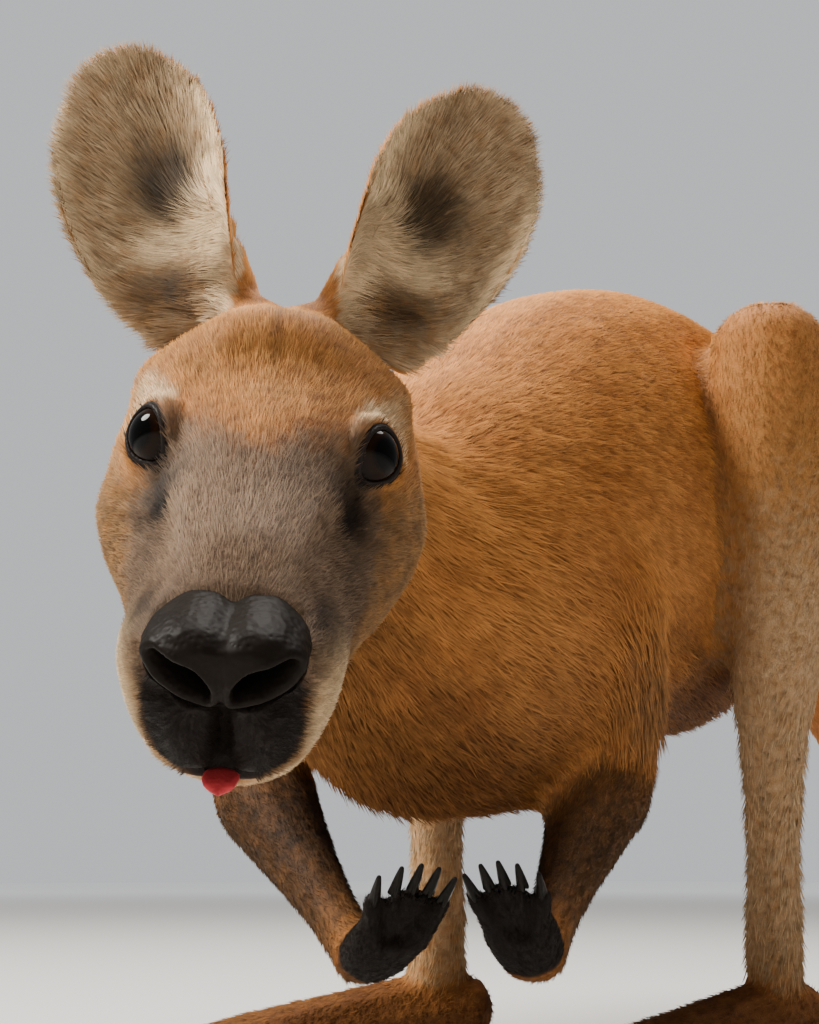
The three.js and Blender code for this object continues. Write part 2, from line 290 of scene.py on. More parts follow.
def ring_faces(rings, around, closed=False):
    """Triangles from each ring of points to the next, and from the last to the first if closed."""
    faces = []
    for ring in range(rings if closed else rings - 1):
        for k in range(around):
            a, b = ring * around + k, ring * around + (k + 1) % around
            after = (ring + 1) % rings * around
            c, d = after + k, after + (k + 1) % around
            faces += [(a, b, d), (a, d, c)]
    return faces


def copy_nodes(name, *nodes):
    """The solids of these nodes as one new object, with their loose triangles merged."""
    copies = []
    for node in nodes:
        copy = NODES[node].copy()
        copy.data = NODES[node].data.copy()
        copy.parent = None
        copy.hide_viewport = copy.hide_render = False
        for key in list(copy.keys()):
            del copy[key]
        bpy.context.scene.collection.objects.link(copy)
        copies.append(copy)
    pick(*copies)
    if len(copies) > 1:
        bpy.ops.object.join()
    whole = copies[0]
    whole.name = whole.data.name = name
    whole.data.materials.clear()
    edit_mesh(whole, bpy.ops.mesh.remove_doubles, threshold=0.00001)
    if "custom_normal" in whole.data.attributes:
        whole.data.attributes.remove(whole.data.attributes["custom_normal"])
    return whole


def modify(obj, kind, **values):
    """Adds a modifier with these values and applies it."""
    pick(obj)
    modifier = obj.modifiers.new(kind.title(), kind)
    for name, value in values.items():
        setattr(modifier, name, value)
    bpy.ops.object.modifier_apply(modifier=modifier.name)
    return obj


def modify_where(obj, weights, kind, **values):
    """Applies a modifier as strongly as the weight at each point says, in steps."""
    group = obj.vertex_groups.new(name="share")
    steps = np.round(np.clip(weights, 0, 1) * WEIGHT_STEPS).astype(int)
    for step in range(1, WEIGHT_STEPS + 1):
        members = np.nonzero(steps == step)[0]
        if len(members):
            group.add(members.tolist(), step / WEIGHT_STEPS, "REPLACE")
    modify(obj, kind, vertex_group=group.name, **values)
    obj.vertex_groups.clear()


def averaged(values, obj, rounds):
    """Values at the points, each replaced by its neighbours' mean again and again."""
    edges = read(obj.data.edges, "vertices", 2)
    count = len(obj.data.vertices)
    ends = np.concatenate([edges[:, 0], edges[:, 1]])
    others = np.concatenate([edges[:, 1], edges[:, 0]])
    degree = np.maximum(np.bincount(ends, minlength=count), 1)
    values = np.array(values, float)
    flat = values.ndim == 1
    if flat:
        values = values[:, None]
    for _ in range(rounds):
        columns = [np.bincount(ends, column[others], minlength=count) / degree for column in values.T]
        values = np.stack(columns, axis=1)
    return values[:, 0] if flat else values


def store(obj, name, values):
    kind = "FLOAT_VECTOR" if np.ndim(values) == 2 else "FLOAT"
    attribute = obj.data.attributes.new(name, kind, "POINT")
    field = "vector" if kind == "FLOAT_VECTOR" else "value"
    attribute.data.foreach_set(field, np.asarray(values, np.float32).ravel())


def stored(obj, name):
    attribute = obj.data.attributes[name]
    vector = attribute.data_type == "FLOAT_VECTOR"
    return read(attribute.data, "vector" if vector else "value", 3 if vector else 1).astype(float)


def unit(vectors):
    return vectors / np.maximum(np.linalg.norm(vectors, axis=-1, keepdims=True), 1e-12)


def smooth_step(low, high, values):
    t = np.clip((values - low) / (high - low), 0, 1)
    return t * t * (3 - 2 * t)


def blob(points, at, reach):
    """1 at a place and fading round it, with its reach along each axis."""
    return np.exp(-(((points - np.array(at)) / np.array(reach)) ** 2).sum(-1))


# ---------------------------------------------------------------- the regions of the body


@dataclass
class Region:
    """What grows on one part of the body: the way it lies, its length and how soft its form is."""

    length: str
    soften: float
    grow: tuple = None


def run(start, end):
    """From the middle of one node to the middle of another."""
    return tuple((centre_of(end) - centre_of(start)).normalized())


def body_regions():
    regions = {
        "head": Region("face", 0.05, tuple(-HEAD.axes[0])),
        "jaw": Region("face", 0.05, tuple(-HEAD.axes[0])),
        "nose": Region("muzzle", 0.02, tuple(-HEAD.axes[0])),
        "neck": Region("body", 0.5, run("neck", "chest")),
        "chest": Region("body", 1.0, run("chest", "loins")),
        "loins": Region("body", 1.0, run("chest", "rump")),
        "rump": Region("body", 0.9, run("loins", "tail_base")),
        "tail_base": Region("tail", 0.35, run("rump", "tail_base")),
        "tail_middle": Region("tail", 0.15, run("tail_base", "tail_tip")),
        "tail_tip": Region("tail", 0.08, run("tail_middle", "tail_tip")),
    }
    for side, out in SIDES.items():
        regions |= {
            f"ear_{side}": Region("ear", 0.012, tuple(HEAD.way(-0.4, out * 0.4, 1))),
            f"thigh_{side}": Region("body", 0.6, (0.9 * out, 0.4, -0.5)),
            f"shank_{side}": Region("limb", 0.16, run(f"thigh_{side}", f"foot_{side}")),
            f"foot_{side}": Region("paw", 0.05, (0, -1, -0.2)),
            f"upper_arm_{side}": Region("body", 0.3, (0, 0.25, -1)),
            f"forearm_{side}": Region("paw", 0.12, run(f"forearm_{side}", f"hand_{side}")),
            f"hand_{side}": Region("muzzle", 0.02, run(f"hand_{side}", f"finger_claw_third_{side}")),
        }
    return regions


REGIONS = body_regions()
FLESH = list(REGIONS)


def part_of(region, *starts):
    """True where the name of a point's solid begins with one of these."""
    return np.array([n.startswith(starts) for n in FLESH])[region]


def nearest_nodes(points):
    """The index in FLESH of the solid that each point is nearest to."""
    vertices, faces, owners = [], [], []
    for index, node in enumerate(FLESH):
        mesh = NODES[node].data
        base = len(vertices)
        vertices.extend(v.co.copy() for v in mesh.vertices)
        faces.extend([base + i for i in p.vertices] for p in mesh.polygons)
        owners.extend([index] * len(mesh.polygons))
    tree = BVHTree.FromPolygons(vertices, faces)
    return np.array([owners[tree.find_nearest(Vector(p))[2]] for p in points])


# ---------------------------------------------------------------- ears


def curve_through(stations, shares):
    """Values on a smooth curve through the stations, at shares of its length."""
    stations = np.asarray(stations, float)
    ends = np.vstack([2 * stations[0] - stations[1], stations, 2 * stations[-1] - stations[-2]])
    place = np.clip(np.asarray(shares), 0, 1) * (len(stations) - 1)
    start = np.minimum(place.astype(int), len(stations) - 2)
    t = (place - start)[:, None]
    a, b, c, d = (ends[start + i] for i in range(4))
    return 0.5 * (2 * b + (c - a) * t + (2 * a - 5 * b + 4 * c - d) * t**2 + (3 * b - a - 3 * c + d) * t**3)


@dataclass
class Ear:
    """A cupped leaf on the head: its length in mm and how it leans out and back."""

    length: float = 114
    lean: float = 25
    back: float = 26
    base: tuple = (14, 38, 58)

    def axis(self, out):
        return np.array([-math.tan(math.radians(self.back)), out * math.tan(math.radians(self.lean)), 1.0])

    def facing(self, out):
        way = np.array([1, out * 0.1, 0.2])
        return way / np.linalg.norm(way)


EAR = Ear()
# Share of the length, set back, half width and thickness.
EAR_PROFILE = np.array(
    [
        (-0.12, 0, 15, 11),
        (0.06, -2, 25, 7),
        (0.26, -8, 31, 4.2),
        (0.50, -11, 34, 3.4),
        (0.74, -9, 31, 3.0),
        (0.92, -6, 20, 2.6),
        (1.00, -3, 8, 2.2),
    ]
)


def ear_place(local, out):
    """Share of the ear's length, place across it and outwards, and half its width there."""
    axis = unit(EAR.axis(out))
    offset = local - np.array(EAR.base) * (1, out, 1)
    up = offset @ axis / EAR.length
    half = np.interp(up, EAR_PROFILE[:, 0], EAR_PROFILE[:, 2])
    return up, offset @ np.cross(axis, EAR.facing(out)) * out, half


def ear_shell(side):
    """One ear as a fine closed leaf, cupped forwards."""
    out = SIDES[side]
    axis, facing = EAR.axis(out), EAR.facing(out)
    axis = axis / np.linalg.norm(axis)
    across = np.cross(axis, facing)
    facing = np.cross(across, axis)
    rows, around = 72, 48
    shares = np.linspace(0, 1, rows)
    at = curve_through(EAR_PROFILE, shares)
    ring = np.sqrt(np.clip(1 - ((shares - 0.5) / 0.5) ** 16, 0, 1))
    turn = np.linspace(0, 2 * math.pi, around, endpoint=False)
    cup = 26 * np.sin(math.pi * np.clip(at[:, 0] * 1.1, 0, 1) ** 0.6)
    c, s = np.cos(turn), np.sin(turn)
    wide = (at[:, 2] * ring)[:, None] * c
    deep = (at[:, 3] * ring)[:, None] * s + at[:, 1][:, None] + (cup * ring)[:, None] * c**2
    rise = np.repeat((at[:, 0] * EAR.length)[:, None], around, 1)
    local = (
        np.array(EAR.base) * (1, out, 1)
        + rise[..., None] * axis
        + wide[..., None] * across
        + deep[..., None] * facing
    )
    points = HEAD.outside(local.reshape(-1, 3))
    first, last = points[:around].mean(0), points[-around:].mean(0)
    faces = ring_faces(rows, around)
    low, high = len(points), len(points) + 1
    top = (rows - 1) * around
    for k in range(around):
        faces.append((low, (k + 1) % around, k))
        faces.append((high, top + k, top + (k + 1) % around))
    return new_mesh(f"ear_shell_{side}", np.vstack([points, first, last]), faces)


# ---------------------------------------------------------------- eyes: where they open


class Eye:
    """An eye: its ball and the almond in which the lids open, about the way that it looks."""

    def __init__(self, side):
        out = SIDES[side]
        self.centre = np.array([HEAD.eye.x + 1, out * (HEAD.eye.y - 1.5), HEAD.eye.z + 1])
        self.radius = HEAD.eye_radius - 2
        self.look = np.array([0.664, out * 0.664, 0.342])
        self.look /= np.linalg.norm(self.look)
        ahead = np.array([1.0, 0, -0.32])
        ahead -= self.look * (ahead @ self.look)
        self.ahead = ahead / np.linalg.norm(ahead)
        self.top = np.cross(self.look, self.ahead) * (-out)
        if self.top[2] < 0:
            self.top = -self.top

    def opening(self, turn):
        """Half angle of the opening, at an angle from the corner nearest the nose towards the top."""
        wide, high = math.radians(51), math.radians(40)
        corner = math.radians(6) * np.exp(-((np.angle(np.exp(1j * turn)) / 0.42) ** 2))
        return 1 / np.sqrt((np.cos(turn) / wide) ** 2 + (np.sin(turn) / high) ** 2) + corner

    def polar(self, points):
        """Distance, angle from the look and turn about it, of points in the head's frame."""
        offset = points - self.centre
        distance = np.linalg.norm(offset, axis=-1)
        along = offset @ self.look
        turn = np.arctan2(offset @ self.top, offset @ self.ahead)
        return distance, np.arccos(np.clip(along / np.maximum(distance, 1e-6), -1, 1)), turn

    def edge(self, turn, radius):
        """Points on the opening's edge at a distance from the eye's centre."""
        angle = self.opening(turn)
        around = np.cos(turn)[:, None] * self.ahead + np.sin(turn)[:, None] * self.top
        return self.centre + radius * (np.cos(angle)[:, None] * self.look + np.sin(angle)[:, None] * around)


EYES = {side: Eye(side) for side in SIDES}


# ---------------------------------------------------------------- the skin


def shape_face(points):
    """Brows, cheeks, tear line, lips and the parting of the muzzle, on points in the head's frame."""
    x, y, z = points.T
    out = np.sign(y) + (y == 0)
    mirrored = np.stack([x, abs(y), z], axis=1)
    push = np.zeros_like(points)

    def swell(at, reach, way, amount):
        strength = blob(mirrored, at, reach) * amount
        way = np.array(way, float) / np.linalg.norm(way)
        push[:, 0] += strength * way[0]
        push[:, 1] += strength * way[1] * out
        push[:, 2] += strength * way[2]

    swell((82, 38, 44), (16, 12, 8), (0.3, 0.5, 0.8), 2.5)  # brow
    swell((112, 32, 6), (12, 9, 9), (-0.2, -0.8, -0.4), 2.0)  # hollow ahead of the eye
    swell((75, 54, -8), (20, 14, 16), (0, 1, 0), 2.5)  # cheek bone
    swell((184, 11, -31), (10, 7.5, 13), (0.9, 0.3, -0.1), 6.0)  # upper lip
    swell((182, 14, -15), (8, 12, 2.6), (-0.9, -0.3, 0), 2.0)  # crease between nose and lip
    swell((52, 43, 42), (24, 10, 15), (0, 1, 0.1), 5.0)  # temple
    swell((132, 25, 17), (26, 5, 6), (0, 0.7, 0.7), 1.8)  # edge of the bridge
    swell((124, 38, 3), (22, 9, 11), (0, -1, 0.3), 5.5)  # hollow under the eye
    swell((134, 0, 26), (30, 13, 8), (0, 0, -1), 1.4)  # flat of the bridge
    # The bridge is narrower than the jaws below it.
    push[:, 1] -= 0.2 * y * smooth_step(-14, 12, z) * smooth_step(92, 114, x) * smooth_step(178, 156, x)
    swell((30, 0, 68), (26, 3.5, 12), (0, 0, -1), 1.8)  # parting of the forehead
    swell((186, 0, -30), (16, 2.2, 17), (-1, 0, 0), 7.0)  # parting of the lip
    swell((178, 0, -52), (10, 14, 5), (1, 0, 0.2), 2.0)  # lower lip
    pinch = 1.8 * smooth_step(16, 32, abs(y)) * smooth_step(115, 145, x)
    push[:, 1] -= out * pinch
    # The nose stands in a shallow bed, so that its nostrils can be deep.
    bed = smooth_step(1.08, 0.85, np.hypot(y / 21, (z + 3) / 14)) * smooth_step(168, 174, x)
    push[:, 0] -= 10 * bed
    push[:, 2] -= 3.2 * smooth_step(166, 172, x) * smooth_step(0, 6, z) * smooth_step(24, 18, abs(y))
    # The upper lip hangs over the mouth.
    push[:, 2] -= 6 * np.exp(-(((z + 42) / 9) ** 2)) * smooth_step(160, 176, x)
    return lower_snout(points + push)


def lower_snout(points):
    """The top of the snout comes down towards the nose."""
    points = points.copy()
    points[:, 2] -= 0.4 * np.maximum(points[:, 2] + 2, 0) * smooth_step(148, 176, points[:, 0])
    return points


def open_mouth(points, normals):
    """Draws the skin in along the mouth's line, on points in the head's frame."""
    x, _, z = points.T
    share = np.clip((x - 124) / 64, 0, 1.3)
    line = -31 - 18 * share**1.4
    reach = smooth_step(118, 132, x)
    depth = 2.6 * reach * np.exp(-(((z - line) / 1.6) ** 2))
    return points - normals * depth[:, None]


def open_lids(points):
    """Sinks the skin behind each eye's opening and folds it into lids round the edge."""
    points = points.copy()
    for eye in EYES.values():
        distance, angle, turn = eye.polar(points)
        near = distance < eye.radius * 2.2
        edge = eye.opening(turn)
        way = unit(points - eye.centre)
        inside = near & (angle < edge)
        points[inside] = eye.centre + way[inside] * (eye.radius - 2.5)
        beyond = np.degrees(angle - edge)
        fold = near & (beyond >= 0) & (beyond < 60)
        rim = eye.radius + 1.0 + 1.2 * smooth_step(2, 12, beyond) * (1 - 0.6 * smooth_step(14, 30, beyond))
        pull = 1 - smooth_step(8, 34, beyond)
        new = np.maximum(distance + (rim - distance) * pull * np.where(distance > rim, 0.7, 1.0), rim)
        points[fold] = (eye.centre + way * new[:, None])[fold]
    return points


def bare_skin(points):
    """1 where nothing grows: on the nose, in the mouth and in the opening of the eyes."""
    local = HEAD.inside(points)
    x, y, z = local.T
    bare = ((np.hypot(y / 21.5, (z + 4.5) / 13) < 1) & (x > 168 + 3 * smooth_step(0, 4, z))).astype(float)
    for eye in EYES.values():
        distance, angle, turn = eye.polar(local)
        bare = np.maximum(bare, (distance < 22) & (angle < eye.opening(turn) + math.radians(3)))
    pocket = (abs(y) < 9) & (x > 165) & (z < -39) & (z > -48)
    return np.maximum(bare, pocket)


def markings(obj, points, region, normals):
    """Where each colour shows, from 0 to 1 at each point, and where the ears are; the dark also holds painted
    shade.
    """
    local = HEAD.inside(points)
    x, y, z = local.T
    mirrored = np.stack([x, abs(y), z], axis=1)

    def share_of(*starts, rounds):
        return averaged(part_of(region, *starts), obj, rounds)

    def spots(*rows):
        return sum(amount * blob(mirrored, at, reach) for amount, at, reach in rows)

    head = share_of(*HEAD_NODES, rounds=8)
    ears = share_of("ear", rounds=3)
    limbs = share_of("shank", rounds=20)
    forearms = share_of("forearm", rounds=40)
    hands = share_of("hand", rounds=10)
    thighs = share_of("thigh", rounds=14)
    arms = share_of("upper_arm", rounds=24)

    # The face: grey from between the eyes to the nose, tan on the cheeks, cream round the lips.
    front = smooth_step(86, 124, x + 0.7 * (abs(y) - 10))
    bridge = front * smooth_step(-24, 6, z) * (1 - smooth_step(28, 44, abs(y)))
    cheek = smooth_step(24, 62, x) * (1 - smooth_step(2, 32, z)) * smooth_step(12, 28, abs(y))
    grey = head * np.clip(bridge + 0.52 * cheek, 0, 1)
    crown = smooth_step(20, 50, x) * smooth_step(0, 30, z) * (1 - bridge)
    knee_high = smooth_step(0.30, 0.48, points[:, 2])
    legs_and_arms = [limbs * (0.85 - 0.42 * knee_high), arms * 0.3, forearms * 0.45]
    fawn = np.maximum.reduce([*legs_and_arms, head * cheek * 0.75, head * crown * 0.45])

    pale = 0.78 * eye_arcs(local, 176, (3, 48)) + spots(
        (1.1, (172, 29, -26), (18, 8, 24)),
        (0.7, (150, 38, -34), (26, 10, 12)),
        (1.2, (174, 21, -53), (20, 13, 11)),
        (0.6, (160, 10, -62), (26, 26, 8)),
    )
    cream = head * np.clip(pale, 0, 1)
    lips = (abs(y / 21.5) ** 2.6 + abs((z + 22) / 27) ** 2.6) ** (1 / 2.6)
    muzzle = smooth_step(150, 166, x) * smooth_step(1.2, 0.84, lips) * smooth_step(6, -4, z)
    parting = np.exp(-((y / 3.2) ** 2)) * smooth_step(20, 44, x) * smooth_step(88, 70, x) * (z > 20)
    deep = spots(
        (0.2, (104, 32, 14), (12, 6, 9)),
        (0.20, (110, 30, 9), (10, 6, 8)),
        (0.14, (126, 32, 2), (14, 7, 9)),
        (0.13, (142, 35, -5), (14, 8, 10)),
        (0.3, (164, 0, 8), (18, 24, 12)),
        (0.6, (179, 6, 8), (9, 13, 7)),
        (0.35, (164, 24, -2), (14, 7, 10)),
    )
    # Cheeks darker towards the front: partly their own browner colour, partly painted shade in their hollows.
    deep += 0.9 * muzzle + 0.3 * cheek * smooth_step(60, 96, x)
    deep += 0.45 * parting + 0.34 * eye_arcs(local, 60, (-4, 30))
    dark = head * np.clip(deep, 0, 1)
    rims = np.zeros(len(points))
    for eye in EYES.values():
        distance, angle, turn = eye.polar(local)
        beyond = np.degrees(angle - eye.opening(turn))
        rims = np.maximum(rims, (distance < 26) * (1 - smooth_step(3, 9, beyond)))
    dark = np.maximum(dark, rims)
    cream *= 1 - rims
    middle_of_chest = centre_of("chest").x
    thigh_front = centre_of("thigh_left").y - points[:, 1]
    tan_front = smooth_step(-0.05, 0.10, thigh_front) * (1 - 0.7 * knee_high)
    fawn = np.maximum(fawn, thighs * (0.2 + 0.6 * tan_front))
    trunk = share_of("neck", "chest", "loins", "upper_arm", rounds=10)
    # Painted shade: the trunk is darker where its skin faces down.
    under = smooth_step(0.0, -0.8, normals[:, 2])
    black = np.zeros(len(points))
    # inward: where the skin faces the body's middle, for painted shade on the inner side of the forearms.
    inward = np.zeros(len(points))
    for side, out in SIDES.items():
        heart, bases = finger_bases(side)
        along = (points - heart) @ unit(bases.mean(0) - heart)
        own = smooth_step(0.0, 0.02, (points[:, 0] - middle_of_chest) * out)
        black = np.maximum(black, own * smooth_step(-0.030, -0.016, along))
        inward = np.maximum(inward, own * smooth_step(0.2, -0.7, normals[:, 0] * out))
    inward = averaged(inward, obj, 12)
    crease = leg_crease(obj, region, points)
    feet = share_of("foot", rounds=16)
    # Painted shadow of the head, over the neck.
    neck_painted_shadow = share_of("neck", rounds=30)
    low = limbs * smooth_step(0.46, 0.28, points[:, 2])
    elbow = arms * smooth_step(0.33, 0.22, points[:, 2])
    grey = np.maximum.reduce([grey, forearms * 0.55, low * 0.5, elbow * 0.5])
    cream = np.maximum(cream, low * 0.46)
    # The forearms and elbows are darker in their own colour, and the forearms' inner side darker still as
    # painted shade.
    dark_and_painted_shade = np.maximum(forearms * (0.6 + 0.22 * inward), elbow * 0.5)
    dark = np.maximum.reduce([dark, hands * 0.98 * black, hands * 0.5, dark_and_painted_shade, neck_painted_shadow * 0.34])
    # Painted shade: darker on the trunk, most on its underside, in the crease before each thigh and over the
    # feet.
    dark = np.maximum.reduce([dark, trunk * (0.14 + under * 0.42), crease * 0.42, feet * 0.58])
    return {"grey": grey, "fawn": fawn, "cream": cream, "dark": dark, "ear": ears}


def leg_crease(obj, region, points):
    """1 along the fold between the trunk and the front of each leg, 0 elsewhere."""
    legs = averaged(part_of(region, "thigh", "shank"), obj, 8)
    ahead = centre_of("thigh_left").y - points[:, 1]
    return 4 * legs * (1 - legs) * smooth_step(-0.02, 0.06, ahead) * smooth_step(0.16, 0.24, points[:, 2])


def ear_marks(points, normals, masks):
    """The inner ear: painted shade in its hollow and at its root, a cream band across the lower third and a
    pale rim.
    """
    local = HEAD.inside(points)
    ears = masks.pop("ear")
    for out in SIDES.values():
        axis = unit(EAR.axis(out))
        facing = np.cross(np.cross(axis, EAR.facing(out)), axis)
        up, wide, half = ear_place(local, out)
        on_ear = (ears > 0.25) & (np.sign(local[:, 1]) == out) & (wide > -half - 1)
        inner = on_ear * smooth_step(-0.1, 0.35, normals @ (facing @ HEAD.axes))
        # Painted shade in the ear's hollow, and at its root below.
        hollow = np.exp(-(((up - 0.43) / 0.14) ** 2) - (((wide + 7) / 13) ** 2))
        hollow += 0.5 * np.exp(-(((up - 0.55) / 0.25) ** 2) - (((wide + 3) / 20) ** 2))
        root = np.exp(-(((up - 0.06) / 0.13) ** 2) - (((wide + 2) / 17) ** 2))
        band = np.exp(-(((up - 0.26 + 0.002 * wide) / 0.08) ** 2)) * smooth_step(16, -6, wide)
        band += 0.8 * np.exp(-(((up - 0.1) / 0.12) ** 2)) * smooth_step(-14, -20, wide)
        band += 0.25 + 0.75 * ear_rims(local) ** 3
        masks["grey"] = np.where(on_ear, 0.62 * inner, masks["grey"])
        masks["fawn"] = np.where(on_ear, 0.35 + 0.5 * inner, masks["fawn"])
        # The dark inside the ear is painted shade.
        masks["dark"] = np.where(on_ear, inner * np.clip(0.62 * hollow + 0.6 * root, 0, 0.68), masks["dark"])
        pale = inner * np.clip(0.2 + band, 0, 1) * (1 - 0.7 * root)
        masks["cream"] = np.where(on_ear, pale, masks["cream"])
    return masks


def eye_arcs(local, middle, reach):
    """An arc on each eye's lids: about a turn in degrees, between two angles from the opening."""
    arcs = np.zeros(len(local))
    for eye in EYES.values():
        distance, angle, turn = eye.polar(local)
        beyond = np.degrees(angle - eye.opening(turn))
        near, far = reach
        ring = smooth_step(near, near + 8, beyond) * (1 - smooth_step(0.6 * far, far, beyond))
        about = smooth_step(0.0, 0.7, np.cos(turn - math.radians(middle)))
        arcs = np.maximum(arcs, (distance < 36) * ring * about)
    return arcs


def ear_rims(local):
    """1 along the rims of the ears, 0 elsewhere."""
    rims = np.zeros(len(local))
    for out in SIDES.values():
        up, wide, half = ear_place(local, out)
        near = (up > -0.12) & (np.sign(local[:, 1]) == out)
        rims = np.maximum(rims, near * smooth_step(0.55, 0.95, abs(wide) / half))
        rims = np.maximum(rims, near * smooth_step(0.86, 0.98, up))
    return rims


def thigh_ruff(points, region):
    """Longer hair along the front edge of the thighs and under the upper arms, as a factor."""
    ahead = centre_of("thigh_left").y - points[:, 1]
    thighs = part_of(region, "thigh") * smooth_step(0.05, 0.12, ahead)
    return 1 + 0.3 * thighs + 0.2 * part_of(region, "upper_arm")


def lay_of_coat(obj, region, normals, points):
    """The way that the hair lies at each point, along the skin."""
    ways = np.array([REGIONS[n].grow for n in FLESH], float)[region]
    trunk = part_of(region, *SPINE)
    middle = points[trunk].mean(0)
    down = np.clip((middle[2] + 0.14 - points[:, 2]) / 0.22, 0, 1.0) * 0.7
    ways[trunk, 2] -= down[trunk]
    local = HEAD.inside(points)
    on_head = part_of(region, *HEAD_NODES)
    spread = np.stack([-np.ones(len(local)), local[:, 1] * 0.012, np.zeros(len(local))], axis=1)
    spread[:, 2] = np.where(local[:, 2] > 10, 0.35, -0.3)
    ways[on_head] = (spread @ HEAD.axes)[on_head]
    for side, out in SIDES.items():
        ear = part_of(region, f"ear_{side}")
        axis, facing = EAR.axis(out), EAR.facing(out)
        axis = axis / np.linalg.norm(axis)
        across = np.cross(axis, facing)
        up, wide, _ = ear_place(local, out)
        # Inside, the hair is combed out from the hollow, and below it from the inner edge outwards.
        high = smooth_step(0.28, 0.42, up)
        rise = 0.3 + high * np.clip((up - 0.38) * 3.4, -0.1, 1.4)
        spread = (1 - high) * 0.9 + high * (wide + 9) / 17
        inner = normals @ (np.cross(across, axis) @ HEAD.axes) > 0.1
        rise, spread = np.where(inner, rise, 1.0), np.where(inner, spread, wide / 26)
        way = axis * rise[:, None] + across * out * spread[:, None]
        ways[ear] = (way @ HEAD.axes)[ear]
    ways = unit(ways)
    ways = ways - normals * (ways * normals).sum(1, keepdims=True)
    ways = averaged(ways, obj, 12)
    return unit(ways - normals * (ways * normals).sum(1, keepdims=True))


def ball(at, radius):
    deselect()
    bpy.ops.mesh.primitive_ico_sphere_add(subdivisions=2, radius=radius, location=at)
    return bpy.context.object


def finger_bases(side):
    """The middle of a hand, and where each of its claws starts, from the thumb on."""
    heart = np.array(centre_of(f"hand_{side}"))
    bases = []
    for rank in ("first", "second", "third", "fourth", "fifth"):
        points = points_of(NODES[f"finger_claw_{rank}_{side}"])
        away = np.linalg.norm(points - heart, axis=1)
        bases.append(points[away < np.quantile(away, 0.45)].mean(0))
    return heart, np.array(bases)


def fingers(side):
    """A short stout finger behind each claw of a hand."""
    heart, bases = finger_bases(side)
    sizes_along = ((0.45, 0.0085), (0.62, 0.0082), (0.78, 0.0076), (0.9, 0.0068), (1.0, 0.0058))
    return [ball(heart + (base - heart) * share, radius) for base in bases for share, radius in sizes_along]


def part_fingers(points, normals):
    """Grooves between the fingers."""
    depth = np.zeros(len(points))
    for side in SIDES:
        heart, bases = finger_bases(side)
        near = np.linalg.norm(points - heart, axis=1) < 0.07
        thick = unit(np.cross(bases[-1] - bases[0], bases.mean(0) - heart))
        for a, b in zip(bases, bases[1:]):
            start = (a + b) / 2 * 1.1 - heart * 0.1
            way = (heart - start) * 0.7
            along = np.clip(((points - start) @ way) / (way @ way), 0, 1)
            offset = points - start - along[:, None] * way
            gap = np.linalg.norm(offset - (offset @ thick)[:, None] * thick, axis=1)
            depth = np.maximum(depth, near * 0.0085 * (1 - 0.45 * along) * np.exp(-((gap / 0.0036) ** 2)))
    return points - normals * depth[:, None]


def ear_roots():
    """The stalk of each ear, which slopes up from the crown along the ear's inner edge."""
    low = ((22, 12, 56, 13), (16, 22, 60, 12), (11, 21, 68, 10))
    high = ((7, 25, 77, 8.5), (3, 29, 88, 6.5), (-1, 32, 99, 4.5))
    places = [((x, out * y, z), radius) for x, y, z, radius in low + high for out in SIDES.values()]
    return [ball(HEAD.outside(at), radius * MM) for at, radius in places]


def melt_flesh():
    """The solids of flesh, with the fingers and the ears' stalks, as one closed skin of even grain."""
    body = sizes("body")
    filled = [n for n in FLESH if not n.startswith("ear")] + ["eye_left", "eye_right"]
    solids = copy_nodes("skin", *filled)
    pick(solids, *fingers("left"), *fingers("right"), *ear_roots())
    bpy.ops.object.join()
    modify(solids, "DISPLACE", strength=body.seam_cover, mid_level=0, direction="NORMAL")
    grain = body.skin_grain * 1
    modify(solids, "REMESH", mode="VOXEL", voxel_size=grain, adaptivity=0)
    return solids


def soften(skin):
    """Melts the facets away: much on the trunk, little on the head."""
    region = nearest_nodes(points_of(skin))
    weights = np.array([REGIONS[n].soften for n in FLESH])[region]
    weights = averaged(weights, skin, 20)
    modify_where(skin, np.maximum(weights, 0.026), "SMOOTH", factor=0.9, iterations=160)


def thin_out(skin):
    """Fewer and larger faces on the body, with the head, ears and hands left fine."""
    points = points_of(skin)
    fine = part_of(nearest_nodes(points), *HEAD_NODES, "ear", "hand")
    fine &= HEAD.inside(points)[:, 0] > -10
    coarse = averaged(1.0 - fine, skin, 6) > 0.5
    modify_where(skin, coarse, "DECIMATE", ratio=FACES_KEPT, vertex_group_factor=1.0)


def refine_face(skin):
    """Splits the faces finer on the front of the head, and again round the eyes."""
    for reach in ("face", "eyes"):
        mesh = bmesh.new()
        mesh.from_mesh(skin.data)
        mesh.edges.ensure_lookup_table()
        points = np.array([v.co for v in mesh.verts])
        local = HEAD.inside(points)
        if reach == "face":
            near = (abs(local - (144, 0, 0)) < (86, 75, 90)).all(1)
        else:
            near = np.zeros(len(points), bool)
            for eye in EYES.values():
                near |= np.linalg.norm(local - eye.centre, axis=1) < 27
        edges = [e for e in mesh.edges if near[e.verts[0].index] and near[e.verts[1].index]]
        bmesh.ops.subdivide_edges(mesh, edges=edges, cuts=1, use_grid_fill=True, smooth=0.0)
        bmesh.ops.triangulate(mesh, faces=mesh.faces[:])
        mesh.to_mesh(skin.data)
        mesh.free()
    skin.data.update()


def join_ears(skin):
    """Grows the fine ears out of the head, with no seam."""
    for side in SIDES:
        ear = ear_shell(side)
        modify(skin, "BOOLEAN", object=ear, operation="UNION", solver="EXACT")
        bpy.data.objects.remove(ear)
    modify(skin, "TRIANGULATE")
    local = HEAD.inside(points_of(skin))
    near = np.zeros(len(local))
    for out in SIDES.values():
        root = np.array(EAR.base) * (1, out, 1) + EAR.axis(out) * 4
        near = np.maximum(near, smooth_step(34, 24, np.linalg.norm(local - root, axis=1)))
    modify_where(skin, near, "SMOOTH", factor=0.5, iterations=10)


